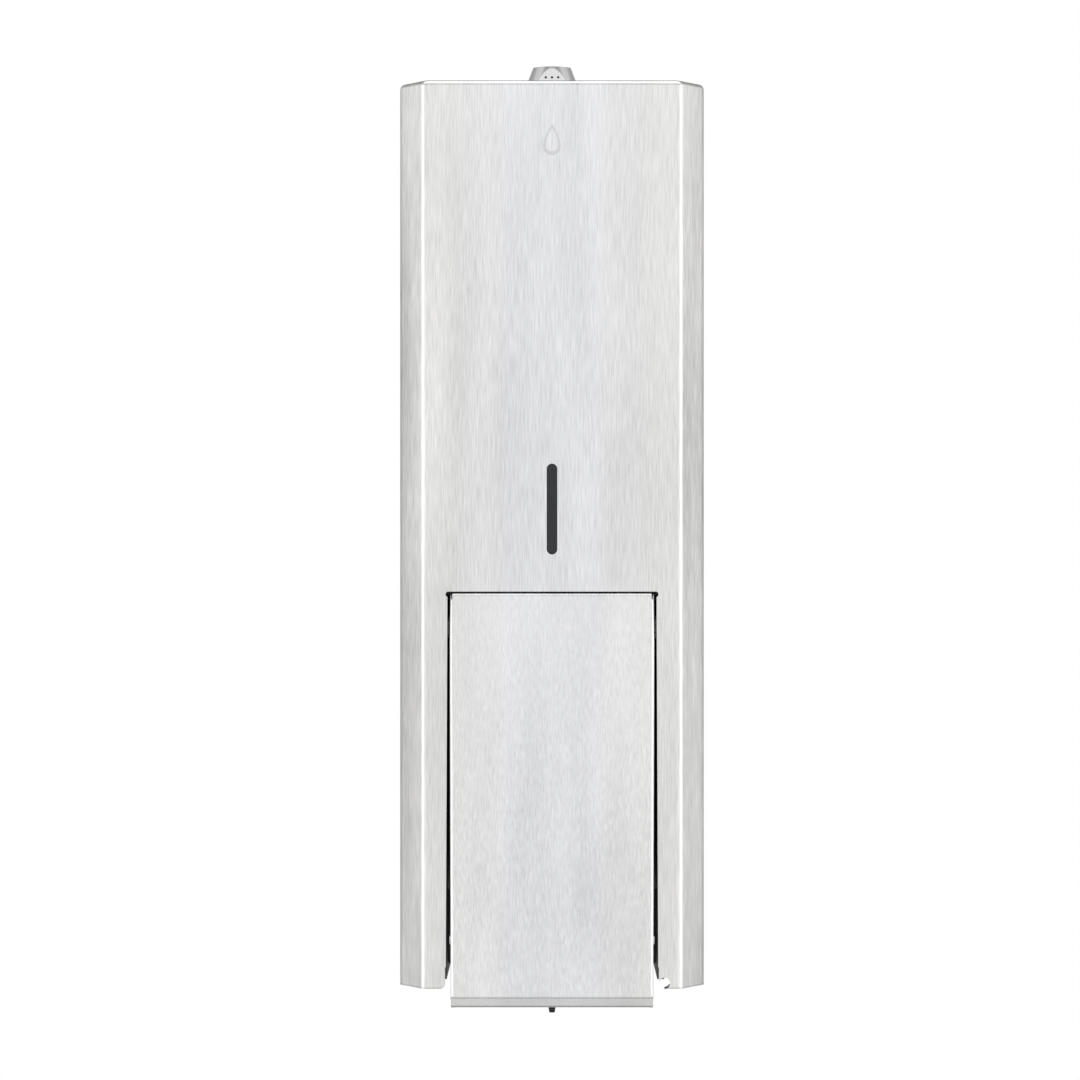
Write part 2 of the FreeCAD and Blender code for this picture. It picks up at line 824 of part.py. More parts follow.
def carrier_screw_spots():
    across = cheek_out + c.foot_width / 2
    return [(side * across, bottom + rise)
            for side in (-1, 1) for rise in (c.carrier_screw_low, c.carrier_screw_high)]


def striker_left():
    return c.barrel_radius + c.striker_gap


def striker_rivet_spots():
    up = striker_low - c.striker_foot / 2
    left = striker_left()
    return [(left + c.striker_width * share, up) for share in (0.25, 0.75)]


def clip_middle():
    return top - c.clip_drop


def clip_rivet_away():
    return -c.plate_flange + c.clip_rivet_inset


def hinge_pins():
    """Shouldered studs riveted into the back plate's side flanges. The cover turns on their ends."""
    pin = new_body("hinge_pin")
    inside = plate_half - c.plate_sheet
    shoulder_end = inner_half - c.contact_gap
    radius, head = c.hinge_pin_radius, c.hinge_head_radius
    revolve(pin, "XZ", "H_Axis", [
        (inside - c.hinge_head_height, 0), (inside - c.hinge_head_height, head), (inside, head),
        (inside, radius), (plate_half, radius), (plate_half, head), (shoulder_end, head),
        (shoulder_end, radius), (half_width - c.hinge_pin_short, radius),
        (half_width - c.hinge_pin_short, 0)])
    put(pin, 0, hinge_away, hinge_up)
    return group("hinge_pins", [pin, mirror(pin)])


def catch_clips():
    """Bowed leaf springs on the side flanges, and the rivets that hold them."""
    leaf = new_body("catch_clip")
    base_front = -c.plate_flange + c.clip_inset
    sheet = c.clip_sheet
    bow = inner_half - c.clip_side_gap
    fold = base_front + c.clip_base
    ramp_top = fold - 2 * c.clip_ramp
    bow_end = ramp_top - c.clip_bow
    pad(leaf, "XY", clip_middle() - c.clip_height / 2, clip_middle() + c.clip_height / 2, [
        (plate_half, base_front), (plate_half + sheet, base_front), (plate_half + sheet, fold - c.clip_ramp),
        (bow - sheet, ramp_top), (bow - sheet, bow_end), (bow, bow_end), (bow, ramp_top),
        (plate_half + sheet * c.clip_fold_ratio, fold), (plate_half, fold)])
    pocket(leaf, "YZ", plate_half - PAST, plate_half + 2 * sheet,
           (clip_rivet_away(), clip_middle(), c.rivet_radius))
    group("catch_clips", [leaf, mirror(leaf)])

    rivet = new_body("clip_rivet")
    inside = plate_half - c.plate_sheet
    outside = plate_half + sheet
    radius, head = c.rivet_radius, c.rivet_radius * c.rivet_head_ratio
    revolve(rivet, "XZ", "H_Axis", [
        (inside - c.rivet_head, 0), (inside - c.rivet_head, head), (inside, head),
        (inside, radius), (outside, radius), (outside, head),
        (outside + c.rivet_head, head), (outside + c.rivet_head, 0)])
    put(rivet, 0, clip_rivet_away(), clip_middle())
    return group("clip_rivets", [rivet, mirror(rivet)])


def lock_striker():
    """Bracket riveted to the back plate. The lock's cam turns behind its front tab."""
    body = new_body("lock_striker")
    plate_front = -c.plate_sheet
    left = striker_left()
    right = left + c.striker_width
    tab_back = lock_away - c.cam_width / 2 - c.cam_clearance
    tab_front = tab_back - c.striker_sheet
    arm_top = striker_low + c.striker_sheet
    pad(body, "XY", striker_low, arm_top, block(left, tab_front, right, plate_front))
    pad(body, "XY", striker_low - c.striker_tab_drop, arm_top,
        block(left, tab_front, left + c.striker_tab_width, tab_back))
    pad(body, "XY", striker_low - c.striker_foot, arm_top,
        block(left, plate_front - c.striker_sheet, right, plate_front))
    pocket(body, "XZ", c.plate_sheet, c.plate_sheet + c.striker_sheet,
           *[(across, up, c.rivet_radius) for across, up in striker_rivet_spots()])
    node(body, "lock_striker")
    rivets = []
    for index, (across, up) in enumerate(striker_rivet_spots()):
        grip = c.plate_sheet + c.striker_sheet
        rivets.append(screw(f"striker_rivet_{index}", c.rivet_radius, grip - c.screw_end_gap,
                            c.rivet_radius * 2, c.rivet_head * 2, (across, -grip, up), BACKWARD))
    return group("striker_rivets", rivets)


# ---- key lock -----------------------------------------------------------------------------------

def lock():
    """Cone collar with its threaded barrel, key plug, nut, washer, cam and cam screw."""
    bore = c.plug_radius + c.running_gap
    housing = new_body("lock_housing")
    revolve(housing, "XZ", "V_Axis", [
        (bore, -c.barrel_length), (c.barrel_radius, -c.barrel_length), (c.barrel_radius, 0),
        (c.cone_base_radius, 0), (c.cone_base_radius, c.cone_rim), (c.cone_top_radius, c.cone_height),
        (bore, c.cone_height)])
    # flat in front, with three dimples
    pocket(housing, "XZ", c.collar_flat, c.cone_base_radius + PAST,
           block(-c.cone_base_radius, c.collar_flat_rise, c.cone_base_radius,
                 c.cone_height + PAST))
    pocket(housing, "XZ", c.collar_flat - c.dimple_depth, c.collar_flat,
           *[(place * c.dimple_spacing, c.dimple_rise, c.dimple_radius) for place in (-1, 0, 1)])
    node(put(housing, 0, lock_away, top), "lock_housing")

    plug = new_body("lock_plug")
    plug_top = c.cone_height - c.plug_recess
    square = c.cam_width * c.cam_square_ratio
    shoulder = -c.barrel_length - c.plug_shoulder
    pad(plug, "XY", shoulder, plug_top, (0, 0, c.plug_radius))
    pad(plug, "XY", -c.barrel_length - c.plug_tail, shoulder,
        block(-square, -square, square, square))
    pocket(plug, "XY", plug_top - c.key_slot_depth, plug_top,
           block(-c.key_slot_width / 2, -c.key_slot_length / 2,
                 c.key_slot_width / 2, c.key_slot_length / 2))
    tail_end = -c.barrel_length - c.plug_tail
    pocket(plug, "XY", tail_end, tail_end + c.cam_screw_length, (0, 0, c.cam_screw_radius))
    node(put(plug, 0, lock_away, top), "lock_plug")

    for name, piece, low, height in (
            ("lock_washer", cylinder("washer_blank", c.washer_radius, c.washer_thickness),
             -c.cover_sheet - c.washer_thickness, c.washer_thickness),
            ("lock_nut", hexagon("lock_nut_blank", c.lock_nut_width, c.lock_nut_height),
             -c.cover_sheet - c.washer_thickness - c.lock_nut_height, c.lock_nut_height)):
        ring = cut(name, piece, cylinder(f"{name}_bore", c.barrel_radius, height))
        node(put(ring, 0, lock_away, top + low), name)

    cam = new_body("lock_cam")
    half = c.cam_width / 2
    pad(cam, "XY", -c.cam_sheet, 0, [
        (-half, 0), (half, 0, half, LEFT), (half, c.cam_length), (-half, c.cam_length)])
    pocket(cam, "XY", -c.cam_sheet, 0, block(-square, -square, square, square))
    node(put(cam, 0, lock_away, cam_top), "lock_cam")

    fixing = screw("cam_screw", c.cam_screw_radius, c.cam_screw_length, c.cam_screw_head_radius,
                   c.cam_screw_head_height, (0, lock_away, top + tail_end), UPWARD)
    return node(fixing, "cam_screw")


# ---- container ----------------------------------------------------------------------------------

def container():
    """Wide upper part of the moulded soap tank, open at the top and over the well."""
    body = new_body("container")
    wall, corner = c.container_wall, c.container_corner
    pad(body, "XY", container_low, lid_low,
        soft_block(-container_half, container_front, container_half, container_back, corner))
    pocket(body, "XY", container_low + wall, lid_low,
           soft_block(wall - container_half, container_front + wall,
                      container_half - wall, container_back - wall, corner - wall))
    pocket(body, "XY", container_low, container_low + wall,
           soft_block(wall - well_half, well_front + wall,
                      well_half - wall, container_back - wall, corner - wall))
    return node(body, "container")


def container_well():
    """Narrow lower part, welded under the tank's floor, with the outlet and its skirt."""
    body = new_body("container_well")
    wall, corner = c.container_wall, c.container_corner
    pad(body, "XY", well_low, container_low,
        soft_block(-well_half, well_front, well_half, container_back, corner))
    skirt_in = c.boss_radius + c.skirt_gap
    pad(body, "XY", well_low - c.skirt_height, well_low, (0, inlet_away, skirt_in + c.skirt_wall))
    pocket(body, "XY", well_low + wall, container_low,
           soft_block(wall - well_half, well_front + wall,
                      well_half - wall, container_back - wall, corner - wall))
    pocket(body, "XY", well_low - c.skirt_height, well_low, (0, inlet_away, skirt_in))
    pocket(body, "XY", well_low, well_low + wall, (0, inlet_away, c.outlet_radius))
    return node(body, "container_well")


def container_lid():
    """Lid with the filler neck, welded on the tank's rim."""
    body = new_body("container_lid")
    pad(body, "XY", lid_low, container_top,
        soft_block(-container_half, container_front, container_half, container_back,
                   c.container_corner))
    round_edges(body, c.container_wall / 2, lambda e: near(e.BoundBox.ZMin, container_top))
    pad(body, "XY", container_top, neck_top, (0, neck_away, c.neck_radius))
    pocket(body, "XY", lid_low, neck_top, (0, neck_away, c.neck_radius - c.neck_wall))
    return node(body, "container_lid")


def container_gasket():
    ring = cut("container_gasket", cylinder("gasket_disc", c.gasket_radius, c.gasket_thickness),
               cylinder("gasket_hole", c.outlet_radius + c.gasket_hole_margin, c.gasket_thickness))
    return node(put(ring, 0, inlet_away, well_low - c.gasket_thickness), "container_gasket")


def filler_cap():
    """Screw cap with a ribbed grip, and the seal disc under its roof."""
    seal_low = neck_top
    roof_low = seal_low + c.cap_seal_thickness
    inside = c.neck_radius + c.cap_gap
    outside = inside + c.cap_wall
    skirt_low = neck_top - c.cap_skirt
    body = new_body("filler_cap")
    pad(body, "XY", skirt_low, roof_low + c.cap_roof, (0, 0, outside))
    round_edges(body, c.cap_roof / 3, lambda e: near(e.BoundBox.ZMin, roof_low + c.cap_roof))
    pocket(body, "XY", skirt_low, roof_low, (0, 0, inside))
    rib = body.newObject("PartDesign::Pad", "filler_cap_rib")
    rib.Profile = draw(body, "XY", skirt_low, [(outside, 0, c.cap_rib_radius)])
    rib.setExpression("Length", (roof_low - skirt_low).text)
    ribs = body.newObject("PartDesign::PolarPattern", "filler_cap_ribs")
    ribs.Originals = [rib]
    ribs.Axis = (rib.Profile[0], ["N_Axis"])
    ribs.Angle = 360
    ribs.Occurrences = int(c.cap_ribs.value)
    ribs.setExpression("Occurrences", c.cap_ribs.text)
    body.Tip = ribs
    node(put(body, 0, neck_away, 0), "filler_cap")
    seal = cylinder("cap_seal", c.neck_radius, c.cap_seal_thickness)
    return node(put(seal, 0, neck_away, seal_low), "cap_seal")


# ---- carrier ------------------------------------------------------------------------------------

def lever_carrier():
    """Black moulding: two cheeks beside the lever, a shelf for the container, a pump bulkhead."""
    body = new_body("lever_carrier")
    low = bottom + c.carrier_rise
    plate_front = -c.plate_sheet
    cheek_front = front + c.cheek_front
    shelf_front = front + c.shelf_front
    shelf_low = container_low - c.shelf_thickness
    cheek = [
        (plate_front, low), (plate_front, container_low), (shelf_front, container_low),
        (cheek_front, axis_up + c.cheek_shoulder), (cheek_front, low + c.cheek_foot_rise),
        (cheek_front + c.cheek_foot_setback, low)]
    cheek.reverse()
    pad(body, "YZ", cheek_in, cheek_out, cheek)
    pad(body, "YZ", -cheek_out, -cheek_in, cheek)
    pad(body, "XY", shelf_low, container_low,
        block(-container_half, shelf_front, container_half, plate_front))
    bulkhead_front = pump_away + c.pump_flange
    bulkhead_back = bulkhead_front + c.bulkhead_thickness
    pad(body, "XZ", -bulkhead_back, -bulkhead_front,
        block(-cheek_in, bottom + c.bulkhead_low, cheek_in, bottom + c.bulkhead_high))
    foot_out = cheek_out + c.foot_width
    for side in (-1, 1):
        edges = sorted((side * cheek_out, side * foot_out), key=lambda value: value.value)
        pad(body, "XZ", c.plate_sheet, c.plate_sheet + c.foot_thickness,
            block(edges[0], low + c.foot_rise, edges[1], shelf_low))
    gap = c.shelf_gap
    pocket(body, "XY", shelf_low, container_low,
           block(-well_half - gap, well_front - gap, well_half + gap, container_back + gap))
    pocket(body, "XZ", -bulkhead_back, -bulkhead_front,
           (0, pump_up, c.pump_bore + c.pump_wall + c.bulkhead_hole_gap),
           (c.pump_screw_spread, pump_up, c.pump_screw_radius),
           (-c.pump_screw_spread, pump_up, c.pump_screw_radius))
    pocket(body, "XZ", c.plate_sheet, c.plate_sheet + c.foot_thickness,
           *[(across, up, c.carrier_screw_radius) for across, up in carrier_screw_spots()])
    pocket(body, "YZ", -cheek_out - PAST, cheek_out + PAST, (axis_away, axis_up, c.axle_radius))
    return node(body, "lever_carrier")


def carrier_screws():
    grip = c.plate_sheet + c.foot_thickness
    screws = [screw(f"carrier_screw_{index}", c.carrier_screw_radius, grip - c.screw_end_gap,
                    c.carrier_screw_head, c.carrier_screw_head_height, (across, -grip, up), BACKWARD)
              for index, (across, up) in enumerate(carrier_screw_spots())]
    return group("carrier_screws", screws)


def bumper_pads():
    """Rubber pegs on the cheeks that the lever's tails rest on."""
    spot_away, spot_up = leaned(c.lever_tail - c.bumper_inset,
                                -c.lever_tail_half - c.contact_gap - c.bumper_radius)
    pad_length = c.cheek_gap + c.lever_sheet + c.bumper_proud
    peg = cylinder("bumper_pad", c.bumper_radius, pad_length)
    put(peg, cheek_in - pad_length, spot_away, spot_up, SIDEWAYS)
    return group("bumper_pads", [peg, mirror(peg)])


# ---- lever --------------------------------------------------------------------------------------

def grooved_shaft(name, radius, half_length, groove_start, groove_width, groove_depth):
    """A round shaft across the dispenser with a ring groove near each end or beside the middle."""
    shaft = new_body(name)
    deep = radius - groove_depth
    groove_end = groove_start + groove_width
    revolve(shaft, "XZ", "H_Axis", [
        (-half_length, 0), (half_length, 0), (half_length, radius), (groove_end, radius),
        (groove_end, deep), (groove_start, deep), (groove_start, radius), (-groove_start, radius),
        (-groove_start, deep), (-groove_end, deep), (-groove_end, radius), (-half_length, radius)])
    return shaft


def clip_ring(name, inner, across):
    """Open retaining ring that snaps into a shaft groove."""
    ring = new_body(name)
    thick = c.clip_ring_thickness
    outer = inner * c.clip_ring_ratio
    mouth = inner * c.clip_ring_mouth_ratio
    pad(ring, "YZ", across, across + thick, (0, 0, outer))
    pocket(ring, "YZ", across, across + thick, (0, 0, inner))
    pocket(ring, "YZ", across, across + thick, block(-mouth, -outer - PAST, mouth, 0))
    return ring


def lever_sizes():
    """Face depth, top and bottom of the lever plate, counted from its axis square to the plate."""
    rise = c.cutout_rise - c.lever_top_gap - c.lever_axis_rise
    drop = c.lever_axis_rise + c.lever_drop
    face = -(c.lever_axis_setback * lean_cosine + rise * lean_sine)
    high = rise * lean_cosine - c.lever_axis_setback * lean_sine
    low = (-drop + face * lean_sine) / lean_cosine
    return face, high, low


def lever_plate():
    """Bent sheet: front plate, side flanges bent back, and a short lip at the top."""
    body = new_body("lever_plate")
    face, high, low = lever_sizes()
    sheet = c.lever_sheet
    rear = face + c.lever_side_depth
    tail = c.lever_tail
    lip = face + c.lever_lip
    low_half = lever_half - c.lever_taper
    pad(body, "XZ", -tail, -face, [
        (-low_half, low), (low_half, low), (lever_half, high), (-lever_half, high)])
    lip_low = c.lever_low_lip
    pocket(body, "YZ", -lever_half - PAST, lever_half + PAST, [
        (face, low + lip_low), (face - PAST, low + lip_low), (face - PAST, low - PAST),
        (face + lip_low, low - PAST), (face + lip_low, low)])
    round_edges(body, c.lever_top_radius, lambda e: along(e, "x") and near(e.BoundBox.YMin, face)
                and near(e.BoundBox.ZMin, low + lip_low))
    round_edges(body, c.lever_side_radius,
                lambda e: e.BoundBox.ZLength > high.value and near(e.BoundBox.YMax, face))
    round_edges(body, c.lever_top_radius, lambda e: near(e.BoundBox.ZMin, high)
                and near(e.BoundBox.ZMax, high) and near(e.BoundBox.YMin, face)
                and e.BoundBox.XLength > lever_half.value)
    pocket(body, "XZ", -tail - PAST, -face - sheet, [
        (sheet - low_half, low - PAST), (low_half - sheet, low - PAST),
        (lever_half - sheet, high - sheet), (sheet - lever_half, high - sheet)])
    # the lower lip runs back at 45 degrees between the side flanges
    root = sheet * c.lip_root_ratio
    slope = sheet * sine(c.lip_angle)
    pad(body, "YZ", sheet / 2 - low_half, low_half - sheet / 2, [
        (face + root, low + lip_low - root), (face + lip_low, low),
        (face + lip_low + slope, low + slope),
        (face + sheet, low + lip_low + sheet * tangent(c.lip_angle / 2))])
    tail_half = c.lever_tail_half
    half = tail_half * c.lever_tail_flare
    pocket(body, "YZ", -lever_half - PAST, lever_half + PAST, [
        (rear, low - PAST), (tail + PAST, low - PAST), (tail + PAST, -tail_half), (half, -tail_half),
        (rear, -half * c.lever_tail_run)])
    pocket(body, "YZ", -lever_half - PAST, lever_half + PAST, [
        (lip, high + PAST), (lip, high - sheet - PAST), (half, half), (tail, tail_half),
        (tail + PAST, tail_half), (tail + PAST, high + PAST)])
    pocket(body, "YZ", -lever_half - PAST, lever_half + PAST, (0, 0, c.bush_radius))
    pin_depth, pin_drop = cross_pin_place()
    pocket(body, "YZ", -lever_half - PAST, lever_half + PAST, (pin_depth, pin_drop, c.cross_pin_radius))
    slit_out = lever_half - c.lever_slit_inset
    for side in (-1, 1):
        edges = sorted((side * slit_out, side * (slit_out - c.lever_slit_width)),
                       key=lambda value: value.value)
        pocket(body, "XZ", -lip - PAST, -face + PAST,
               block(edges[0], high - c.lever_slit_height, edges[1], high + PAST))
    return node(put(body, 0, axis_away, axis_up, lever_turn), "lever_plate")


def cross_pin_place():
    return c.cross_pin_depth - c.lever_axis_setback, -c.cross_pin_drop


def lever_fittings():
    """Axle with its rings in the carrier, bushes in the lever, cross pin, rings and roller."""
    ring_start = cheek_out + c.axle_clip_gap
    groove = c.clip_ring_thickness + c.clip_ring_play
    axle = grooved_shaft("lever_axle", c.axle_radius, cheek_out + c.axle_overhang, ring_start,
                         groove, c.axle_groove)
    node(put(axle, 0, axis_away, axis_up), "lever_axle")
    ring = clip_ring("axle_clip", c.axle_radius - c.axle_groove, ring_start + c.clip_ring_play / 2)
    put(ring, 0, axis_away, axis_up)
    group("axle_clips", [ring, mirror(ring)])

    bush = new_body("lever_bush")
    bore = c.axle_radius + c.running_gap
    inside = lever_half - c.lever_sheet - c.bush_seat_gap
    end = cheek_in - c.bush_end_gap
    revolve(bush, "XZ", "H_Axis", [
        (inside - c.bush_flange, bore), (end, bore), (end, c.bush_radius),
        (inside, c.bush_radius), (inside, c.bush_flange_radius),
        (inside - c.bush_flange, c.bush_flange_radius)])
    put(bush, 0, axis_away, axis_up)
    group("lever_bushes", [bush, mirror(bush)])

    roller_half = c.roller_width / 2
    ring_start = roller_half + c.contact_gap
    pin = grooved_shaft("cross_pin", c.cross_pin_radius, lever_half - c.lever_taper
                        + c.cross_pin_proud, ring_start, groove, c.cross_pin_groove)
    node(put(pin, 0, roller_away, roller_up), "cross_pin")
    ring = clip_ring("pin_clip", c.cross_pin_radius - c.cross_pin_groove, ring_start + c.clip_ring_play / 2)
    put(ring, 0, roller_away, roller_up)
    group("pin_clips", [ring, mirror(ring)])

    roller = new_body("pusher_roller")
    bore = c.cross_pin_radius + c.running_gap
    chamfer = c.roller_chamfer
    rim = c.roller_radius - chamfer
    revolve(roller, "XZ", "H_Axis", [
        (-roller_half, bore), (roller_half, bore), (roller_half, rim),
        (roller_half - chamfer, c.roller_radius), (chamfer - roller_half, c.roller_radius),
        (-roller_half, rim)])
    return node(put(roller, 0, roller_away, roller_up), "pusher_roller")


# ---- pump and plunger ---------------------------------------------------------------------------

def pump_body():
    """Barrel along y with a screw flange in front, inlet boss on top and outlet boss below."""
    body = new_body("pump_body")
    outer = c.pump_bore + c.pump_wall
    chamber = c.pump_chamber
    nose_end = chamber + c.pump_nose
    rear = nose_end + c.pump_end
    flange = c.pump_flange
    revolve(body, "YZ", "H_Axis", [
        (0, 0), (rear, 0), (rear, outer), (flange, outer), (flange, c.pump_flange_radius),
        (0, c.pump_flange_radius)])
    pad(body, "XZ", -flange, 0,
        soft_block(-c.pump_ear_reach, -c.pump_ear_half, c.pump_ear_reach, c.pump_ear_half,
                   c.pump_ear_corner))
    pad(body, "XY", 0, boss_top, (0, port_away, c.boss_radius))
    pad(body, "XY", -outlet_drop, 0, (0, port_away, c.outlet_boss_radius))
    groove(body, "YZ", "H_Axis", [
        (0, 0), (nose_end, 0), (nose_end, c.pump_nose_radius), (chamber, c.pump_nose_radius),
        (chamber, c.pump_bore), (0, c.pump_bore)])
    pocket(body, "XY", c.cage_floor, boss_top, (0, port_away, c.cage_radius))
    pocket(body, "XY", 0, c.cage_floor, (0, port_away, c.port_radius))
    pocket(body, "XY", -outlet_drop, 0, (0, port_away, c.tube_bore))
    pocket(body, "XY", -outlet_drop, c.tube_socket - outlet_drop,
           (0, port_away, c.tube_radius))
    pocket(body, "XZ", -flange, 0, (c.pump_screw_spread, 0, c.pump_screw_radius),
           (-c.pump_screw_spread, 0, c.pump_screw_radius))
    return node(put(body, 0, pump_away, pump_up), "pump_body")


def pump_fittings():
    """Flange screws, valve seat and ball, gland nut and its ring."""
    screws = [screw(f"pump_screw_{name}", c.pump_screw_radius, c.pump_screw_length,
                    c.pump_screw_head_radius, c.pump_screw_head,
                    (side * c.pump_screw_spread, pump_away, pump_up), BACKWARD)
              for name, side in (("left", -1), ("right", 1))]
    group("pump_screws", screws)

    seat = cut("inlet_seat", cylinder("seat_disc", c.cage_radius, c.seat_thickness),
               cylinder("seat_hole", c.seat_radius, c.seat_thickness))
    node(put(seat, 0, inlet_away, well_low - c.gasket_thickness - c.seat_thickness), "inlet_seat")
    ball = bind(doc.addObject("Part::Sphere", "inlet_ball"), Radius=c.ball_radius)
    node(put(ball, 0, inlet_away, pump_up + c.cage_floor + c.ball_lift), "inlet_ball")

    bore = c.rod_radius + c.running_gap
    gland = new_body("gland_nut")
    revolve(gland, "YZ", "H_Axis", [
        (-c.gland_head, bore), (c.gland_thread, bore), (c.gland_thread, c.pump_bore),
        (0, c.pump_bore), (0, c.gland_head_radius), (-c.gland_head, c.gland_head_radius)])
    node(put(gland, 0, pump_away, pump_up), "gland_nut")
    wire = c.o_ring_wire
    ring = bind(doc.addObject("Part::Torus", "gland_o_ring"),
                Radius1=(bore + c.pump_bore) / 2, Radius2=wire)
    return node(put(ring, 0, pump_away + c.gland_thread + wire, pump_up, FORWARD), "gland_o_ring")


def plunger():
    """Head that the roller pushes, its rod, the piston seal and the return spring."""
    head = new_body("plunger_head")
    thick = c.head_thickness
    boss_end = thick + c.head_boss
    revolve(head, "YZ", "H_Axis", [
        (0, 0), (thick - c.head_socket, 0), (thick - c.head_socket, c.rod_radius),
        (boss_end, c.rod_radius), (boss_end, c.head_boss_radius), (thick, c.head_boss_radius),
        (thick, c.head_radius), (c.head_chamfer, c.head_radius),
        (0, c.head_radius - c.head_chamfer)])
    node(put(head, 0, plunger_front, pump_up), "plunger_head")

    rod = new_body("plunger_rod")
    start = thick - c.head_socket
    end = pump_away + c.rod_end - plunger_front
    lip = c.piston_lip
    groove_end = end - lip
    groove_start = groove_end - c.seal_length
    revolve(rod, "YZ", "H_Axis", [
        (start, 0), (end, 0), (end, c.piston_radius), (groove_end, c.piston_radius),
        (groove_end, c.piston_groove), (groove_start, c.piston_groove),
        (groove_start, c.piston_radius), (groove_start - lip, c.piston_radius),
        (groove_start - lip, c.rod_radius), (start, c.rod_radius)])
    node(put(rod, 0, plunger_front, pump_up), "plunger_rod")

    seal = new_body("piston_seal")
    revolve(seal, "YZ", "H_Axis", [
        (groove_start, c.piston_groove), (groove_end, c.piston_groove),
        (groove_end, c.pump_bore - c.running_gap), (groove_start, c.pump_bore - c.running_gap)])
    node(put(seal, 0, plunger_front, pump_up), "piston_seal")

    wire = c.spring_wire
    free = pump_away - plunger_front - thick - c.spring_play
    coil_start = pump_away - (wire + c.spring_play) / 2
    coil = doc.addObject("Part::Helix", "spring_coil")
    bind(coil, Radius=c.spring_radius, Height=free - wire, Pitch=(free - wire) / c.spring_turns,
         SegmentLength=c.spring_segment)
    put(coil, 0, coil_start, pump_up, FORWARD)
    section = bind(doc.addObject("Part::Circle", "spring_section"), Radius=wire / 2)
    put(section, c.spring_radius, coil_start, pump_up)
    spring = doc.addObject("Part::Sweep", "return_spring")
    spring.Sections = [section]
    spring.Spine = (coil, [])
    spring.Solid = True
    spring.Frenet = True
    return node(spring, "return_spring")


# ---- spout --------------------------------------------------------------------------------------

def spout():
    """Bent tube from the outlet boss to the front, its union nut and its soft tip."""
    boss_low = pump_up - outlet_drop
    nut_low = boss_low - c.spout_nut_floor
    bend = c.tube_bend
    run = nut_low - c.tube_straight - bend
    start = boss_low + c.tube_socket
    spout_away = front + c.spout_setback
    end = bottom - c.tube_drop

    def route(name, radius):
        """The tube's path as a solid round bar: down at the front, level, then up to the pump."""
        front_length = cylinder(f"{name}_front", radius, run - bend - end)
        put(front_length, 0, spout_away, end)
        level_length = cylinder(f"{name}_level", radius, inlet_away - spout_away - 2 * bend)
        put(level_length, 0, inlet_away - bend, run, FORWARD)
        rear_length = cylinder(f"{name}_rear", radius, start - run - bend)
        put(rear_length, 0, inlet_away, run + bend)
        front_bend = quarter_bend(f"{name}_front_bend", bend, radius)
        put(front_bend, 0, spout_away + bend, run - bend, FRONT_AND_UP)
        rear_bend = quarter_bend(f"{name}_rear_bend", bend, radius)
        put(rear_bend, 0, inlet_away - bend, run + bend, DOWN_AND_BACK)
        return fuse(name, front_length, front_bend, level_length, rear_bend, rear_length)

    node(cut("spout_tube", route("spout_bar", c.tube_radius), route("spout_bore", c.tube_bore)),
         "spout_tube")

    tip = new_body("spout_tip")
    tip_low = bottom - c.tip_drop
    radius = c.tube_radius
    shoulder = end - c.tip_shoulder
    revolve(tip, "XZ", "V_Axis", [
        (radius, end + c.tip_sleeve), (radius, end), (c.tip_slit / 2, end - c.tip_slit_start),
        (c.tip_slit / 2, tip_low), (c.tip_end_radius, tip_low), (c.tip_radius, shoulder - c.tip_cone),
        (c.tip_sleeve_radius, shoulder), (c.tip_sleeve_radius, end + c.tip_sleeve)])
    node(put(tip, 0, spout_away, 0), "spout_tip")

    length = c.tube_socket + c.spout_nut_floor
    blank = hexagon("spout_nut_blank", c.spout_nut_width, length)
    through = cylinder("spout_nut_through", c.tube_radius, length)
    recess = put(cylinder("spout_nut_recess", c.outlet_boss_radius, c.tube_socket),
                 0, 0, c.spout_nut_floor)
    nut = cut("spout_nut", blank, fuse("spout_nut_hollow", through, recess))
    return node(put(nut, 0, inlet_away, nut_low), "spout_nut")


# ---- whole dispenser ----------------------------------------------------------------------------

def check_all():
    doc.recompute()
    for thing in doc.Objects:
        if "Invalid" in thing.State or "Error" in thing.State:
            raise RuntimeError(f"{thing.Name} ({thing.Label}) failed: {thing.State}")
    for piece in nodes:
        if piece.Shape.isNull() or not piece.Shape.isValid() or not piece.Shape.Solids:
            raise RuntimeError(f"{piece.Label} has no valid solid")


def main():
    for make in (cover_shell, window, back_plate, hinge_pins, catch_clips, lock_striker, lock,
                 container, container_well, container_lid, container_gasket, filler_cap,
                 lever_carrier, carrier_screws, bumper_pads, lever_plate, lever_fittings, pump_body,
                 pump_fittings, plunger, spout):
        make()
    check_all()
    os.makedirs("parts", exist_ok=True)
    for piece in nodes:
        piece.Shape.exportStep(f"parts/{piece.Label}.step")
        print(f"{piece.Label}: {len(piece.Shape.Solids)} solid(s), {piece.Shape.Volume:.1f} mm3")


main()
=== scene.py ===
"""Wall mounted soap dispenser: brushed steel cover, push lever, key lock, and what is inside."""

import json
import math

import bmesh
import bpy
from mathutils import Matrix, Vector

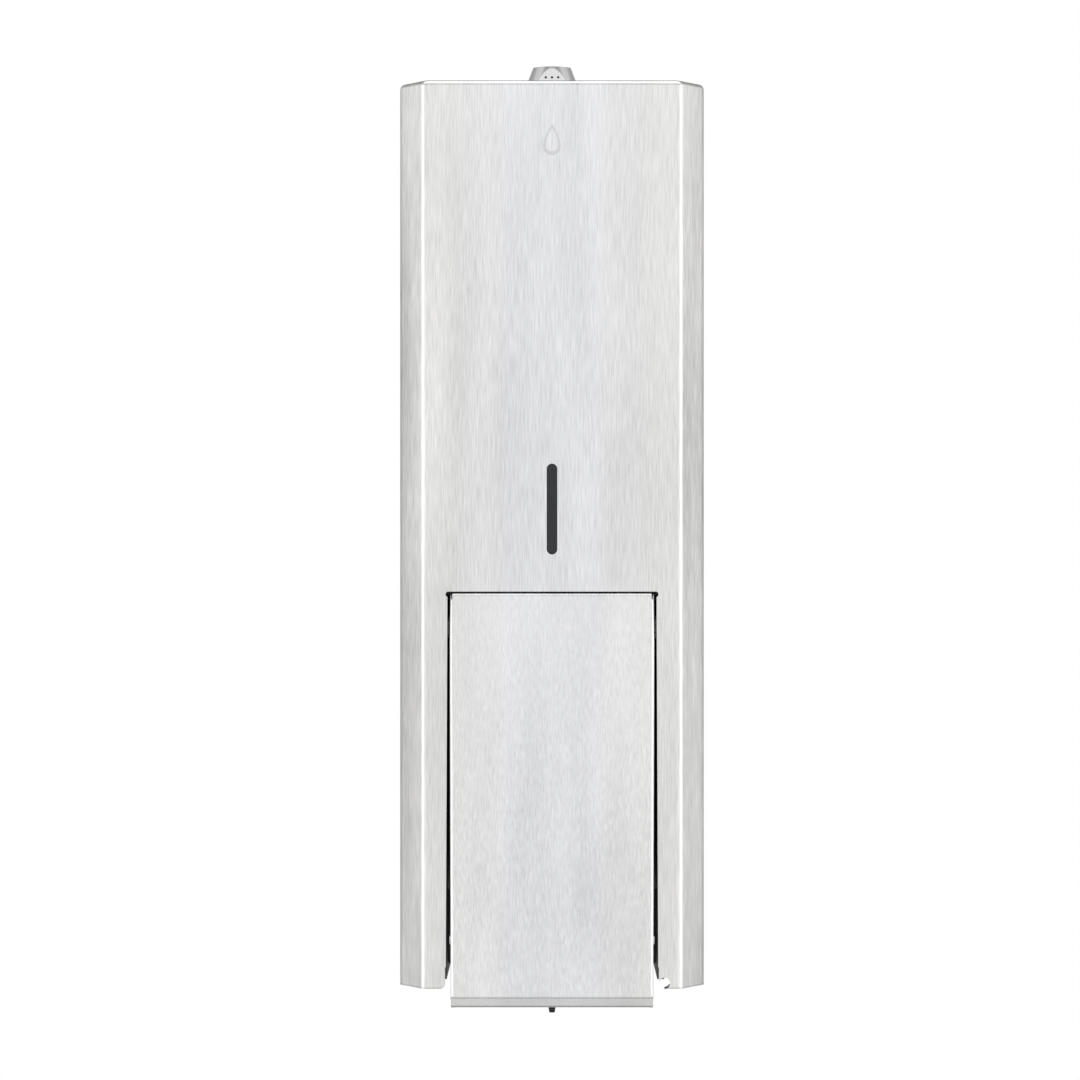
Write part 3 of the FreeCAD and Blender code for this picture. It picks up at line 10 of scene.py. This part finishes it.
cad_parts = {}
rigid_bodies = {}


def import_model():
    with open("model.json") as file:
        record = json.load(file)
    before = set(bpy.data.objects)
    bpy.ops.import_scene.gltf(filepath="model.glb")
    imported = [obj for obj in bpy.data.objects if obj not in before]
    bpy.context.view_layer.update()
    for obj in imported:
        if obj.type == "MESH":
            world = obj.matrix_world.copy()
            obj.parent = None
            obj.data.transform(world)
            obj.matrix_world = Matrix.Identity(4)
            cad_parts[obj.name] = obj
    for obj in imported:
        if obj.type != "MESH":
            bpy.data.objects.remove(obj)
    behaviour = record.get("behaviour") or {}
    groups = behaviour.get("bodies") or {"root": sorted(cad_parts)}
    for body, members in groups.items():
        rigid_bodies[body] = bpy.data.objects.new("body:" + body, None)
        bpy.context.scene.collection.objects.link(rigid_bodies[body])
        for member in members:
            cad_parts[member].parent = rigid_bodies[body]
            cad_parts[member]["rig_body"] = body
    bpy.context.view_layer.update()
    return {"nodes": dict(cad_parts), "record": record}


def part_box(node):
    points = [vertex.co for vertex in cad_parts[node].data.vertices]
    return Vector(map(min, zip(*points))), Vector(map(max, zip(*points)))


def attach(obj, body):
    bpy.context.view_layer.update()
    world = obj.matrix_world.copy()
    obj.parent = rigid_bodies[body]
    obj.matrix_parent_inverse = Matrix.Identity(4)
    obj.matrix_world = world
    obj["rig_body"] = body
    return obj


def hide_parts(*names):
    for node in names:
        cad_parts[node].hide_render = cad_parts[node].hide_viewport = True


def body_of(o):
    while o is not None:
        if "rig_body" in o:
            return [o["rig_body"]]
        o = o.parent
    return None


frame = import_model()
nodes = frame["nodes"]
MM = 0.001
FLOOR_HEIGHT = -0.30
FLOOR_RADIUS = 0.6
SHARP_ANGLE = math.radians(32)      # corners over this are edges of the sheet or moulding
FLAT_ANGLE = math.radians(0.4)      # faces nearer to level than this become one
MERGE_GAP = 2e-6


# ---- camera, light and floor -------------------------------------------------------------------

def set_camera():
    lens = bpy.data.cameras.new("viewpoint")
    lens.lens = 145
    lens.sensor_width = 36
    lens.shift_x = -0.0111
    lens.clip_start = 0.05
    viewer = bpy.data.objects.new("viewpoint", lens)
    viewer.location = (0, -1.672, -0.002)
    viewer.rotation_euler = (math.radians(90), 0, 0)
    bpy.context.collection.objects.link(viewer)
    bpy.context.scene.camera = viewer


def softbox(name, spot, aim, width, height, power):
    """A soft panel light that faces the aim point."""
    panel = bpy.data.lights.new(name, "AREA")
    panel.shape = "RECTANGLE"
    panel.size, panel.size_y = width, height
    panel.energy = power
    holder = bpy.data.objects.new(name, panel)
    holder.location = spot
    holder.rotation_euler = (Vector(aim) - Vector(spot)).to_track_quat("-Z", "Y").to_euler()
    bpy.context.collection.objects.link(holder)


def grey_ramp(tree, value, stops, blue):
    """A ramp of greys over the value, with its blue raised by the given factor."""
    ramp = tree.nodes.new("ShaderNodeValToRGB")
    tree.links.new(value, ramp.inputs[0])
    while len(ramp.color_ramp.elements) < len(stops):
        ramp.color_ramp.elements.new(0.5)
    for element, (spot, tone) in zip(ramp.color_ramp.elements, stops):
        element.position = spot
        element.color = (tone, tone, tone * blue, 1)
    return ramp


def set_studio():
    """White backdrop, a room that is bright in front and dimmer behind, and soft panels."""
    room = bpy.data.worlds.new("studio")
    bpy.context.scene.world = room
    room.use_nodes = True
    tree = room.node_tree
    tree.nodes.clear()
    make, join = tree.nodes.new, tree.links.new
    place = make("ShaderNodeTexCoord")
    parts = make("ShaderNodeSeparateXYZ")
    join(place.outputs["Generated"], parts.inputs[0])
    depth = make("ShaderNodeMapRange")
    depth.inputs["From Min"].default_value = -1
    join(parts.outputs["Y"], depth.inputs["Value"])
    # bright at the sides of the room's front half, dimmer behind
    steps = ((0.0, 0.48), (0.22, 0.55), (0.40, 1.0), (0.55, 0.90), (0.72, 0.26), (1.0, 0.21))
    tone = grey_ramp(tree, depth.outputs[0], steps, blue=1.01)
    # over the horizon a dim band, then a bright ceiling, so that polished parts have contrast
    rise = make("ShaderNodeMapRange")
    rise.inputs["From Min"].default_value = -1
    join(parts.outputs["Z"], rise.inputs["Value"])
    bands = ((0.0, 0.74), (0.40, 0.98), (0.5, 0.87), (0.66, 0.90), (0.74, 0.30), (0.84, 0.34),
             (0.92, 1.0))
    ceiling = grey_ramp(tree, rise.outputs[0], bands, blue=1.0)
    power = make("ShaderNodeMath")
    power.operation = "MULTIPLY"
    power.inputs[1].default_value = 2.0
    join(ceiling.outputs[0], power.inputs[0])
    room_light = make("ShaderNodeBackground")
    join(tone.outputs[0], room_light.inputs["Color"])
    join(power.outputs[0], room_light.inputs["Strength"])
    backdrop = make("ShaderNodeBackground")
    backdrop.inputs["Color"].default_value = (1, 1, 1, 1)
    rays = make("ShaderNodeLightPath")
    mix = make("ShaderNodeMixShader")
    join(rays.outputs["Is Camera Ray"], mix.inputs[0])
    join(room_light.outputs[0], mix.inputs[1])
    join(backdrop.outputs[0], mix.inputs[2])
    out = make("ShaderNodeOutputWorld")
    join(mix.outputs[0], out.inputs["Surface"])
    softbox("front_panel", (0.0, -1.9, 0.9), (0, -0.1, 0), 1.6, 0.9, 1.45)
    for name, side in (("left_panel", -1), ("right_panel", 1)):
        softbox(name, (side * 0.75, 0.25, 0.42), (0, -0.05, 0.1), 0.5, 0.5, 0.16)
    bpy.context.scene.view_settings.view_transform = "Standard"


def lay_floor():
    mesh = bpy.data.meshes.new("floor")
    work = bmesh.new()
    bmesh.ops.create_circle(work, cap_ends=True, radius=FLOOR_RADIUS, segments=96)
    for vert in work.verts:
        vert.co.z = FLOOR_HEIGHT
    work.to_mesh(mesh)
    work.free()
    disc = bpy.data.objects.new("floor", mesh)
    bpy.context.collection.objects.link(disc)
    paint = bpy.data.materials.new("pale_floor")
    paint.use_nodes = True
    surface = paint.node_tree.nodes["Principled BSDF"]
    surface.inputs["Base Color"].default_value = (0.82, 0.82, 0.81, 1)
    surface.inputs["Roughness"].default_value = 0.8
    mesh.materials.append(paint)


# ---- finishes ----------------------------------------------------------------------------------

def finish(name, light, dark, metallic, roughness, grain, patch, depth,
           cells=False, spread=0.08, anisotropy=0.0, mist=None, painted_shade_lines=()):
    """A finish with fine grain and broad patches, both on the piece's own coordinates.

    light and dark are its two tones, grain and patch are cycles per metre along x, y and z,
    depth is the height of the grain in metres, and spread is how far the roughness varies.
    the painted shade lines are darker bands painted along edges and creases where bends turn dark:
    the axis across the line, its place on that axis, its half width and its tone. A place on X
    counts for both sides.
    """
    material = bpy.data.materials.new(name)
    material.use_nodes = True
    tree = material.node_tree
    make, join = tree.nodes.new, tree.links.new
    surface = tree.nodes["Principled BSDF"]
    place = make("ShaderNodeTexCoord")

    def layer(scale, detail):
        spread_out = make("ShaderNodeMapping")
        spread_out.inputs["Scale"].default_value = scale
        join(place.outputs["Object"], spread_out.inputs["Vector"])
        pattern = make("ShaderNodeTexNoise")
        pattern.inputs["Scale"].default_value = 1.0
        pattern.inputs["Detail"].default_value = detail
        join(spread_out.outputs["Vector"], pattern.inputs["Vector"])
        return spread_out, pattern.outputs["Fac"]

    _, fine = layer(grain, 3.0)
    patch_place, broad = layer(patch, 2.0)
    if cells:
        flakes = make("ShaderNodeTexVoronoi")
        flakes.inputs["Scale"].default_value = 1.0
        join(patch_place.outputs["Vector"], flakes.inputs["Vector"])
        flake_tone = make("ShaderNodeSeparateColor")
        join(flakes.outputs["Color"], flake_tone.inputs[0])
        broad = flake_tone.outputs[0]

    blend = make("ShaderNodeMix")
    blend.data_type = "FLOAT"
    blend.inputs[0].default_value = 0.38
    join(fine, blend.inputs[2])
    join(broad, blend.inputs[3])
    tones = make("ShaderNodeValToRGB")
    tones.color_ramp.elements[0].position = 0.32
    tones.color_ramp.elements[1].position = 0.68
    tones.color_ramp.elements[0].color = (*dark, 1)
    tones.color_ramp.elements[1].color = (*light, 1)
    join(blend.outputs[0], tones.inputs[0])
    colour = tones.outputs[0]
    if mist:
        # a cooler middle and warmer sides, across the piece
        across = make("ShaderNodeSeparateXYZ")
        join(place.outputs["Object"], across.inputs[0])
        size = make("ShaderNodeMath")
        size.operation = "ABSOLUTE"
        join(across.outputs["X"], size.inputs[0])
        share = make("ShaderNodeMapRange")
        share.inputs["From Min"].default_value = 0.012
        share.inputs["From Max"].default_value = 0.042
        join(size.outputs[0], share.inputs["Value"])
        tint = make("ShaderNodeMix")
        tint.data_type = "RGBA"
        tint.inputs[6].default_value = (*mist[0], 1)
        tint.inputs[7].default_value = (*mist[1], 1)
        join(share.outputs[0], tint.inputs[0])
        tinted = make("ShaderNodeMix")
        tinted.data_type = "RGBA"
        tinted.blend_type = "MULTIPLY"
        tinted.inputs[0].default_value = 1.0
        join(colour, tinted.inputs[6])
        join(tint.outputs[2], tinted.inputs[7])
        colour = tinted.outputs[2]
    # painted shade: each line darkens the colour in a narrow band across its axis, standing in for
    # the dark of a bend or fold
    for axis, middle, half_width, tone in painted_shade_lines:
        spot = make("ShaderNodeSeparateXYZ")
        join(place.outputs["Object"], spot.inputs[0])
        side = make("ShaderNodeMath")
        side.operation = "ABSOLUTE" if axis == "X" else "ADD"
        join(spot.outputs[axis], side.inputs[0])
        side.inputs[1].default_value = 0.0
        reach = make("ShaderNodeMath")
        reach.operation = "SUBTRACT"
        join(side.outputs[0], reach.inputs[0])
        reach.inputs[1].default_value = middle
        away = make("ShaderNodeMath")
        away.operation = "ABSOLUTE"
        join(reach.outputs[0], away.inputs[0])
        strength = make("ShaderNodeMapRange")
        strength.interpolation_type = "SMOOTHSTEP"
        strength.inputs["From Min"].default_value = half_width * 0.4
        strength.inputs["From Max"].default_value = half_width
        strength.inputs["To Min"].default_value = tone
        strength.inputs["To Max"].default_value = 1.0
        join(away.outputs[0], strength.inputs["Value"])
        shaded = make("ShaderNodeVectorMath")
        shaded.operation = "SCALE"
        join(colour, shaded.inputs[0])
        join(strength.outputs[0], shaded.inputs["Scale"])
        colour = shaded.outputs[0]
    join(colour, surface.inputs["Base Color"])

    sheen = make("ShaderNodeMapRange")
    sheen.inputs["From Min"].default_value = 0.3
    sheen.inputs["From Max"].default_value = 0.7
    sheen.inputs["To Min"].default_value = max(roughness - spread, 0.02)
    sheen.inputs["To Max"].default_value = min(roughness + spread, 1.0)
    join(blend.outputs[0], sheen.inputs["Value"])
    join(sheen.outputs[0], surface.inputs["Roughness"])
    bump = make("ShaderNodeBump")
    bump.inputs["Strength"].default_value = 1.0
    bump.inputs["Distance"].default_value = depth
    join(fine, bump.inputs["Height"])
    join(bump.outputs[0], surface.inputs["Normal"])
    surface.inputs["Metallic"].default_value = metallic
    surface.inputs["Anisotropic"].default_value = anisotropy
    return material


def grey(tone, blue=0.0):
    return (tone, tone, tone + blue)


COOL_AND_WARM = ((0.985, 0.99, 1.0), (1.0, 0.995, 0.97))
FINISHES = {
    "brushed_cover": finish("brushed_cover_steel", grey(0.97), grey(0.70), 1.0, 0.36,
                            (2000, 2000, 110), (70, 70, 9), 0.000005,
                            anisotropy=0.3, mist=COOL_AND_WARM,
                            # painted shade: darker bands along the cover's top and bottom edges
                            # and down its outer side bends
                            painted_shade_lines=(("Z", 0.1630, 0.0006, 0.72), ("Z", -0.1630, 0.0007, 0.74),
                                   ("X", 0.0550, 0.0012, 0.80))),
    "brushed_lever": finish("brushed_lever_steel", grey(0.96), grey(0.72), 1.0, 0.34,
                            (2100, 2100, 120), (75, 75, 10), 0.000005,
                            anisotropy=0.3, mist=COOL_AND_WARM,
                            # painted shade: a darker band at the lever's lower fold and a darker
                            # one along its bottom edge
                            painted_shade_lines=(("Z", -0.1644, 0.0005, 0.74), ("Z", -0.1677, 0.0004, 0.5))),
    "etched_mark": finish("etched_mark_steel", grey(0.80), grey(0.66), 1.0, 0.5,
                          (2600, 2600, 2600), (90, 90, 90), 0.000004),
    "chrome": finish("polished_chrome", grey(0.90, 0.005), grey(0.87, 0.005), 1.0, 0.06,
                     (600, 600, 600), (120, 120, 120), 0.0000001, spread=0.02),
    "galvanised_steel": finish("spangled_zinc_sheet", (0.66, 0.67, 0.69), (0.50, 0.51, 0.53), 1.0,
                               0.42, (1500, 1500, 1500), (190, 190, 190), 0.000003,
                               cells=True, spread=0.12),
    "zinc_fastener": finish("bright_zinc_plating", (0.80, 0.79, 0.74), (0.66, 0.66, 0.63), 1.0,
                            0.30, (2400, 2400, 2400), (300, 300, 300), 0.000002),
    "spring_steel": finish("drawn_spring_steel", (0.56, 0.57, 0.60), (0.40, 0.41, 0.43), 1.0,
                           0.28, (400, 3200, 3200), (220, 220, 220), 0.000003),
    "stainless_pin": finish("turned_stainless", (0.80, 0.80, 0.81), (0.68, 0.68, 0.69), 1.0,
                            0.22, (5200, 300, 300), (260, 260, 260), 0.000002),
    "brass": finish("turned_brass", (0.80, 0.62, 0.30), (0.66, 0.48, 0.21), 1.0,
                    0.26, (300, 300, 4200), (240, 240, 240), 0.000002),
    "black_housing": finish("grained_black_moulding", (0.022, 0.022, 0.024),
                            (0.010, 0.010, 0.011), 0.0, 0.52, (3600, 3600, 3600),
                            (60, 60, 60), 0.00003),
    "container_plastic": finish("smoke_grey_tank", (0.19, 0.20, 0.21), (0.13, 0.137, 0.145), 0.0,
                                0.38, (1200, 1200, 1200), (28, 28, 14), 0.00002, spread=0.12),
    "dark_lens": finish("smoked_lens", (0.020, 0.021, 0.024), (0.010, 0.011, 0.013), 0.0,
                        0.10, (2000, 2000, 2000), (120, 120, 120), 0.000001, spread=0.05),
    "white_plastic": finish("white_acetal", (0.87, 0.87, 0.84), (0.80, 0.80, 0.76), 0.0,
                            0.40, (2400, 2400, 2400), (130, 130, 130), 0.000008),
    "grey_plastic": finish("grey_moulding", (0.44, 0.45, 0.46), (0.35, 0.36, 0.37), 0.0,
                           0.46, (2800, 2800, 2800), (110, 110, 110), 0.00001),
    "black_rubber": finish("black_rubber", (0.030, 0.029, 0.028), (0.014, 0.014, 0.013), 0.0,
                           0.72, (4200, 4200, 4200), (300, 300, 300), 0.00002, spread=0.14),
    "pale_rubber": finish("pale_rubber", (0.78, 0.76, 0.71), (0.69, 0.67, 0.61), 0.0,
                          0.66, (3000, 3000, 3000), (260, 260, 260), 0.00001),
}


def dress_nodes():
    """Each carried-over part gets the finish of its own slot."""
    for part in frame["record"]["subparts"]:
        mesh = nodes[part["node"]].data
        mesh.materials.clear()
        mesh.materials.append(FINISHES[part["material_slot"]])


# ---- softened sheet and mouldings ---------------------------------------------------------------

def slot_of(node):
    return next(p for p in frame["record"]["subparts"] if p["node"] == node)["material_slot"]


def place_piece(name, mesh, body, slot, *stands_for, look=None):
    """Adds a mesh as a piece of one body, in the finish of the record's slot or in the look."""
    piece = bpy.data.objects.new(name, mesh)
    mesh.materials.clear()
    mesh.materials.append(FINISHES[look or slot])
    bpy.context.collection.objects.link(piece)
    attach(piece, body)
    if stands_for:
        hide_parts(*stands_for)
    return piece


def baked(maker):
    """The maker object's mesh with its modifiers applied. The maker is removed."""
    bpy.context.view_layer.update()
    seen = maker.evaluated_get(bpy.context.evaluated_depsgraph_get())
    mesh = bpy.data.meshes.new_from_object(seen)
    bpy.data.objects.remove(maker)
    return mesh


def soften(name, node, edge):
    """The part with its sharp edges broken by a small round, as after tumbling or moulding."""
    mesh = nodes[node].data.copy()
    work = bmesh.new()
    work.from_mesh(mesh)
    bmesh.ops.remove_doubles(work, verts=work.verts, dist=MERGE_GAP)
    bmesh.ops.dissolve_limit(work, angle_limit=FLAT_ANGLE, verts=work.verts,
                             edges=work.edges)
    for face in work.faces:
        face.smooth = True
    for line in work.edges:
        line.smooth = len(line.link_faces) == 2 and line.calc_face_angle(0) < SHARP_ANGLE
    work.to_mesh(mesh)
    work.free()
    maker = bpy.data.objects.new(f"{name}_maker", mesh)
    bpy.context.collection.objects.link(maker)
    rounding = maker.modifiers.new("rounding", "BEVEL")
    rounding.limit_method = "ANGLE"
    rounding.angle_limit = SHARP_ANGLE
    rounding.width = edge
    rounding.segments = 2
    rounding.harden_normals = True
    place_piece(name, baked(maker), body_of(nodes[node])[0], slot_of(node), node)


SOFTENED = (
    ("folded_cover", "cover_shell", 0.00025),
    ("folded_lever", "lever_plate", 0.00025),
    ("wall_plate", "back_plate", 0.0002),
    ("striker_bracket", "lock_striker", 0.0002),
    ("key_plug", "lock_plug", 0.00015),
    ("tank", "container", 0.0004),
    ("tank_well", "container_well", 0.0004),
    ("tank_lid", "container_lid", 0.0003),
    ("screw_cap", "filler_cap", 0.0003),
    ("carrier", "lever_carrier", 0.0003),
    ("pump_barrel", "pump_body", 0.0003),
    ("gland", "gland_nut", 0.0002),
    ("push_button", "plunger_head", 0.0003),
    ("union_nut", "spout_nut", 0.0002),
)


# ---- what repeats, by node trees ----------------------------------------------------------------

def grown(name, slot, sizes, shape):
    """The mesh that a node tree grows from its named sizes. shape wires the tree up."""
    tree = bpy.data.node_groups.new(name, "GeometryNodeTree")
    for title, value in sizes.items():
        kind = "NodeSocketInt" if isinstance(value, int) else "NodeSocketFloat"
        tree.interface.new_socket(title, in_out="INPUT", socket_type=kind)
    tree.interface.new_socket("Geometry", in_out="OUTPUT", socket_type="NodeSocketGeometry")
    given = tree.nodes.new("NodeGroupInput")
    made = tree.nodes.new("NodeGroupOutput")
    real = tree.nodes.new("GeometryNodeRealizeInstances")
    paint = tree.nodes.new("GeometryNodeSetMaterial")
    paint.inputs["Material"].default_value = FINISHES[slot]
    tree.links.new(shape(tree, given.outputs), real.inputs[0])
    tree.links.new(real.outputs[0], paint.inputs[0])
    tree.links.new(paint.outputs[0], made.inputs[0])
    maker = bpy.data.objects.new(f"{name}_maker", bpy.data.meshes.new(name))
    bpy.context.collection.objects.link(maker)
    growth = maker.modifiers.new("growth", "NODES")
    growth.node_group = tree
    for item in tree.interface.items_tree:
        if item.in_out == "INPUT":
            growth[item.identifier] = sizes[item.name]
    return baked(maker)


def coil(tree, size):
    """A round wire wound along z, with both of its ends closed."""
    path = tree.nodes.new("GeometryNodeCurveSpiral")
    path.inputs["Resolution"].default_value = 40
    wire = tree.nodes.new("GeometryNodeCurvePrimitiveCircle")
    wire.inputs["Resolution"].default_value = 14
    solid = tree.nodes.new("GeometryNodeCurveToMesh")
    solid.inputs["Fill Caps"].default_value = True
    join = tree.links.new
    join(size["Turns"], path.inputs["Rotations"])
    join(size["Coil Radius"], path.inputs["Start Radius"])
    join(size["Coil Radius"], path.inputs["End Radius"])
    join(size["Length"], path.inputs["Height"])
    join(size["Wire Radius"], wire.inputs["Radius"])
    join(path.outputs["Curve"], solid.inputs["Curve"])
    join(wire.outputs["Curve"], solid.inputs["Profile Curve"])
    return solid.outputs["Mesh"]


def bar(tree, size):
    """One bar of the given width, thickness and height."""
    edges = tree.nodes.new("ShaderNodeCombineXYZ")
    block = tree.nodes.new("GeometryNodeMeshCube")
    tree.links.new(size["Width"], edges.inputs["X"])
    tree.links.new(size["Thickness"], edges.inputs["Y"])
    tree.links.new(size["Height"], edges.inputs["Z"])
    tree.links.new(edges.outputs[0], block.inputs["Size"])
    return block.outputs["Mesh"]


def ladder(tree, size):
    """Level bars one above the other, from the origin up."""
    step = tree.nodes.new("ShaderNodeCombineXYZ")
    points = tree.nodes.new("GeometryNodeMeshLine")
    copies = tree.nodes.new("GeometryNodeInstanceOnPoints")
    tree.links.new(size["Step"], step.inputs["Z"])
    tree.links.new(size["Count"], points.inputs["Count"])
    tree.links.new(step.outputs[0], points.inputs["Offset"])
    tree.links.new(points.outputs[0], copies.inputs["Points"])
    tree.links.new(bar(tree, size), copies.inputs["Instance"])
    return copies.outputs["Instances"]


def ring_of_ribs(tree, size):
    """Upright ribs round a circle, each one square to it."""
    points = tree.nodes.new("GeometryNodeMeshCircle")
    spot = tree.nodes.new("GeometryNodeInputPosition")
    turn = tree.nodes.new("FunctionNodeAlignRotationToVector")
    turn.axis = "Y"
    copies = tree.nodes.new("GeometryNodeInstanceOnPoints")
    tree.links.new(size["Count"], points.inputs["Vertices"])
    tree.links.new(size["Ring Radius"], points.inputs["Radius"])
    tree.links.new(spot.outputs[0], turn.inputs["Vector"])
    tree.links.new(points.outputs[0], copies.inputs["Points"])
    tree.links.new(bar(tree, size), copies.inputs["Instance"])
    tree.links.new(turn.outputs[0], copies.inputs["Rotation"])
    return copies.outputs["Instances"]


def add_spring():
    low, high = (Vector(corner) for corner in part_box("return_spring"))
    wire = 0.6 * MM
    length = high.y - low.y - 2 * wire
    mesh = grown("wound_spring", slot_of("return_spring"), {
        "Turns": 5.0, "Coil Radius": (high.x - low.x) / 2 - wire, "Length": length,
        "Wire Radius": wire}, coil)
    middle = (low + high) / 2
    mesh.transform(Matrix.Translation((middle.x, high.y - wire, middle.z))
                   @ Matrix.Rotation(math.radians(90), 4, "X"))
    place_piece("wound_spring", mesh, body_of(nodes["return_spring"])[0],
                slot_of("return_spring"), "return_spring")


def add_level_marks():
    """Five raised level bars on the right of the tank's front."""
    low = Vector(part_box("container")[0])
    sideways, first = 30 * MM, 20 * MM
    mesh = grown("level_marks", slot_of("container"), {
        "Count": 5, "Step": 22 * MM, "Width": 12 * MM, "Thickness": 0.6 * MM,
        "Height": 0.9 * MM}, ladder)
    mesh.transform(Matrix.Translation((sideways, low.y, low.z + first)))
    place_piece("level_marks", mesh, body_of(nodes["container"])[0], slot_of("container"))


def add_cap_ribs():
    """Grip ribs round the screw cap."""
    low, high = (Vector(corner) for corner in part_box("filler_cap"))
    mesh = grown("cap_ribs", slot_of("filler_cap"), {
        "Count": 48, "Ring Radius": (high.x - low.x) / 2, "Width": 1.0 * MM,
        "Thickness": 0.8 * MM, "Height": (high.z - low.z) * 0.7}, ring_of_ribs)
    mesh.transform(Matrix.Translation((low + high) / 2))
    place_piece("cap_ribs", mesh, body_of(nodes["filler_cap"])[0], slot_of("filler_cap"))


def add_collar_face():
    """The flat on the lock collar's front, short of its rim, with three dimples along its foot,
    drawn as black beads of painted shade.
    """
    low, high = (Vector(corner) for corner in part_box("lock_housing"))
    foot, rim, rise = 10.6 * MM, 7.05 * MM, 10.2 * MM
    flat, behind = 7.3 * MM, 6.5 * MM
    dimple_spacing, dimple_rise, dimple_radius = 2.3 * MM, 6.1 * MM, 0.45 * MM
    away = (low.y + high.y) / 2
    work = bmesh.new()
    bmesh.ops.create_cone(work, cap_ends=True, segments=160, radius1=foot, radius2=rim,
                          depth=rise)
    for plane, normal in ((-behind, 1), (-flat, -1)):
        cut = bmesh.ops.bisect_plane(work, geom=work.verts[:] + work.edges[:] + work.faces[:],
                                     plane_co=(0, plane, 0), plane_no=(0, normal, 0),
                                     clear_outer=True)
        rim_edges = [part for part in cut["geom_cut"] if isinstance(part, bmesh.types.BMEdge)]
        bmesh.ops.edgeloop_fill(work, edges=rim_edges)
    bmesh.ops.translate(work, verts=work.verts, vec=(0, away, high.z - rise / 2))
    bmesh.ops.recalc_face_normals(work, faces=work.faces)
    mesh = bpy.data.meshes.new("collar_face")
    work.to_mesh(mesh)
    work.free()
    place_piece("collar_face", mesh, "cover", slot_of("lock_housing"))

    # painted shade: the dimples are flattened beads in the black moulding finish, dark for the
    # shade in the hollows
    work = bmesh.new()
    for place in (-dimple_spacing, 0, dimple_spacing):
        spot = Matrix.Translation((place, away - flat, high.z - rise + dimple_rise))
        bmesh.ops.create_uvsphere(work, u_segments=20, v_segments=10, radius=dimple_radius,
                                  matrix=spot @ Matrix.Diagonal((1, 0.2, 1, 1)))
    mesh = bpy.data.meshes.new("collar_dimple_shade")
    work.to_mesh(mesh)
    work.free()
    place_piece("collar_dimple_shade", mesh, "cover", "black_housing")


def add_etched_drop():
    """A plain drop etched high on the cover: a ring that comes to a point at its top."""
    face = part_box("cover_shell")[0][1]
    centre, steps = 141.5 * MM, 72
    outer_width, inner_width, depth = 4.4 * MM, 3.3 * MM, 0.02 * MM
    mesh = bpy.data.meshes.new("etched_drop")
    work = bmesh.new()
    rings = []
    for away, size in ((depth, outer_width), (-depth, outer_width),
                       (-depth, inner_width), (depth, inner_width)):
        ring = []
        for step in range(steps):
            turn = math.tau * step / steps
            narrow = 1 - 0.5 * (1 + math.sin(turn)) * 0.75
            ring.append(work.verts.new((size * math.cos(turn) * narrow, face + away,
                                        centre + size * 1.25 * math.sin(turn))))
        rings.append(ring)
    for inner, outer in zip(rings, rings[1:] + rings[:1]):
        for step in range(steps):
            after = (step + 1) % steps
            work.faces.new((inner[step], inner[after], outer[after], outer[step]))
    bmesh.ops.recalc_face_normals(work, faces=work.faces)
    work.to_mesh(mesh)
    work.free()
    place_piece("etched_drop", mesh, "cover", slot_of("cover_shell"), look="etched_mark")


set_camera()
set_studio()
lay_floor()
dress_nodes()
for name, node, edge in SOFTENED:
    soften(name, node, edge)
add_spring()
add_level_marks()
add_cap_ribs()
add_etched_drop()
add_collar_face()
